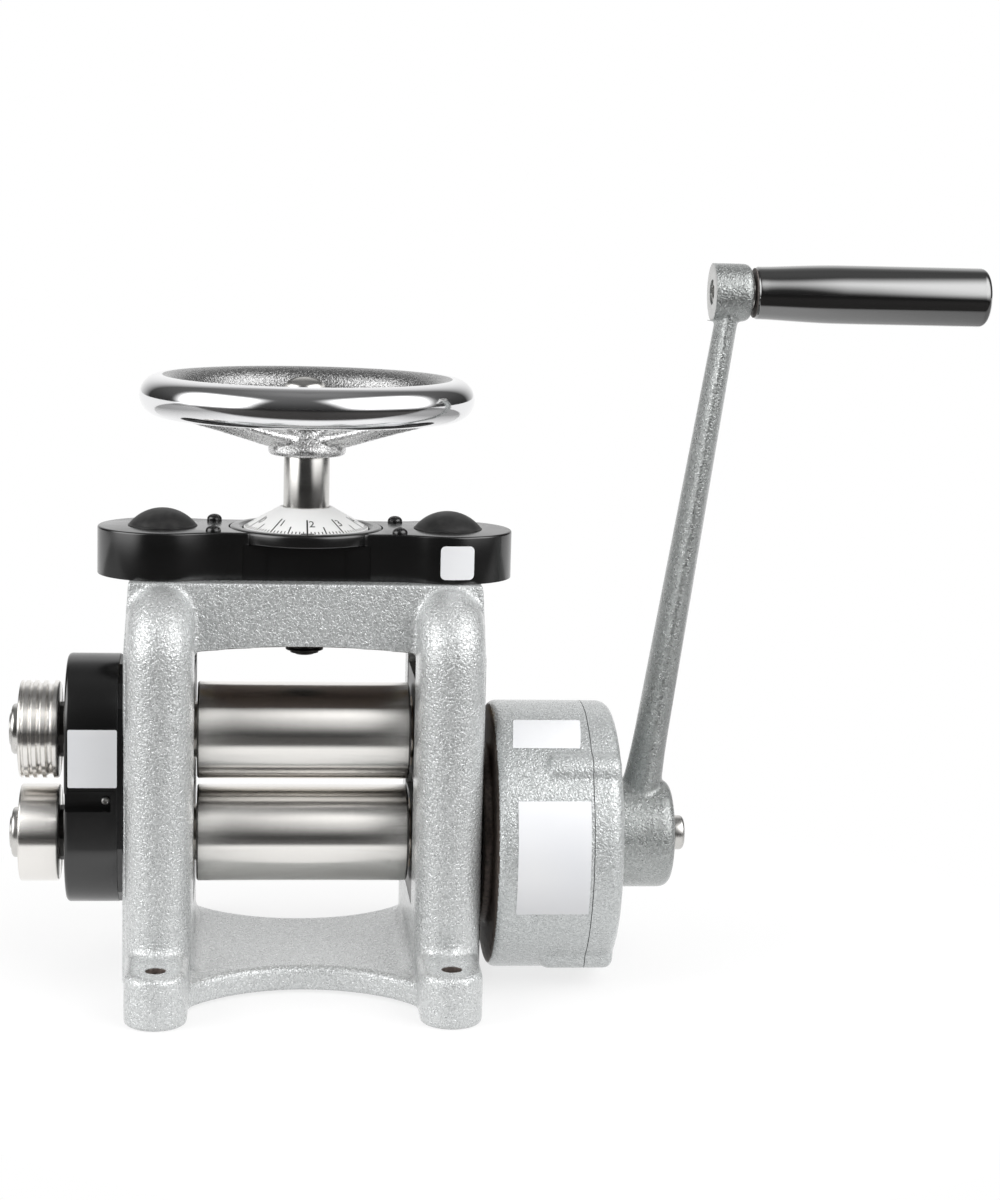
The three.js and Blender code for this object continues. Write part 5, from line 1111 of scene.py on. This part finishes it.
# White near the object, where it takes the shadow, and glowing white farther out
def build_floor():
    white, tree, shader = new_material("floor_white", (0.9,) * 3, 0.0, 0.9, 0.0, 0.1)
    fill(tree, shader, {"Base Color": tint(tree, noise(tree, 1, 1), (0.9,) * 3, (0.92,) * 3)})
    diffuse = add_node(tree, "LightPath").outputs["Is Diffuse Ray"]
    glow = add_node(tree, "Emission", {"Color": (1, 1, 1, 1),
                                       "Strength": ramp(tree, diffuse, 1.0, 0.3, 0, 1)})
    away = add_node(tree, "VectorMath", {0: coordinates(tree, "Object")}, operation="LENGTH")
    blend = add_node(tree, "MixShader", {"Fac": ramp(tree, away.outputs["Value"], 0.74, 1.0, 0.3, 0.42),
                                         1: shader.outputs["BSDF"], 2: glow.outputs["Emission"]})
    fill(tree, tree.nodes["Material Output"], {"Surface": blend.outputs["Shader"]})
    staged_sheet("floor", 30.0, -30.0, 30.0, 0, white)


# Dark cloth in front of the white table and grey at its sides, which only the bright metal shows
def build_cloth():
    cloth, tree, shader = new_material("table_cloth", (0.018,) * 3, 0.0, 0.9)
    split = add_node(tree, "SeparateXYZ", {"Vector": coordinates(tree, "Object")})
    ahead = ramp(tree, split.outputs["Y"], 0, 1, -0.24, -0.34)
    sides = [ramp(tree, split.outputs["X"], 0, 0.85, edge, far) for edge, far in ((-0.4, -0.9), (0.12, 0.55))]
    beside = math_node(tree, "ADD", *sides)
    fill(tree, shader, {"Base Color": tint(tree, ahead, (0.2,) * 3, (0.018, 0.016, 0.015), 0, 1),
                        "Alpha": math_node(tree, "MAXIMUM", ahead, beside)})
    sheet = staged_sheet("table_cloth", 28, -28, 0.7, 0.002, cloth)
    sheet.visible_camera = False
    sheet.visible_diffuse = False
    sheet.visible_shadow = False


# A softbox that fades out towards its edges
def softbox(name, azimuth, rise, width, tall, power):
    fade, distance, middle = 0.35, 1.7, Vector((-0.12, 0, 0.33))
    a, e = math.radians(azimuth), math.radians(rise)
    spot = middle + distance * Vector((math.sin(a) * math.cos(e), -math.cos(a) * math.cos(e), math.sin(e)))
    light = bpy.data.lights.new(name, "AREA")
    light.shape = "RECTANGLE"
    light.size = width
    light.size_y = tall
    light.energy = power
    light.use_nodes = True
    tree = light.node_tree
    split = add_node(tree, "SeparateXYZ", {"Vector": add_node(tree, "NewGeometry").outputs["Parametric"]})
    product = None
    for axis in "XY":
        for start, end in ((0, fade), (1, 1 - fade)):
            edge = ramp(tree, split.outputs[axis], 0, 1, start, end, interpolation_type="SMOOTHSTEP")
            product = edge if product is None else math_node(tree, "MULTIPLY", product, edge)
    fill(tree, tree.nodes["Emission"], {"Strength": product})
    lamp = new_object(name, light)
    lamp.location = spot
    lamp.rotation_euler = (middle - spot).to_track_quat("-Z", "Y").to_euler()


studio = bpy.context.scene
studio.view_settings.view_transform = "Standard"
build_camera(studio)
build_floor()
build_cloth()
build_world(studio)
softbox("softbox_left", -69, 22, 2.5, 2.2, 64)
softbox("softbox_right", 57, 30, 3.0, 2.4, 74)
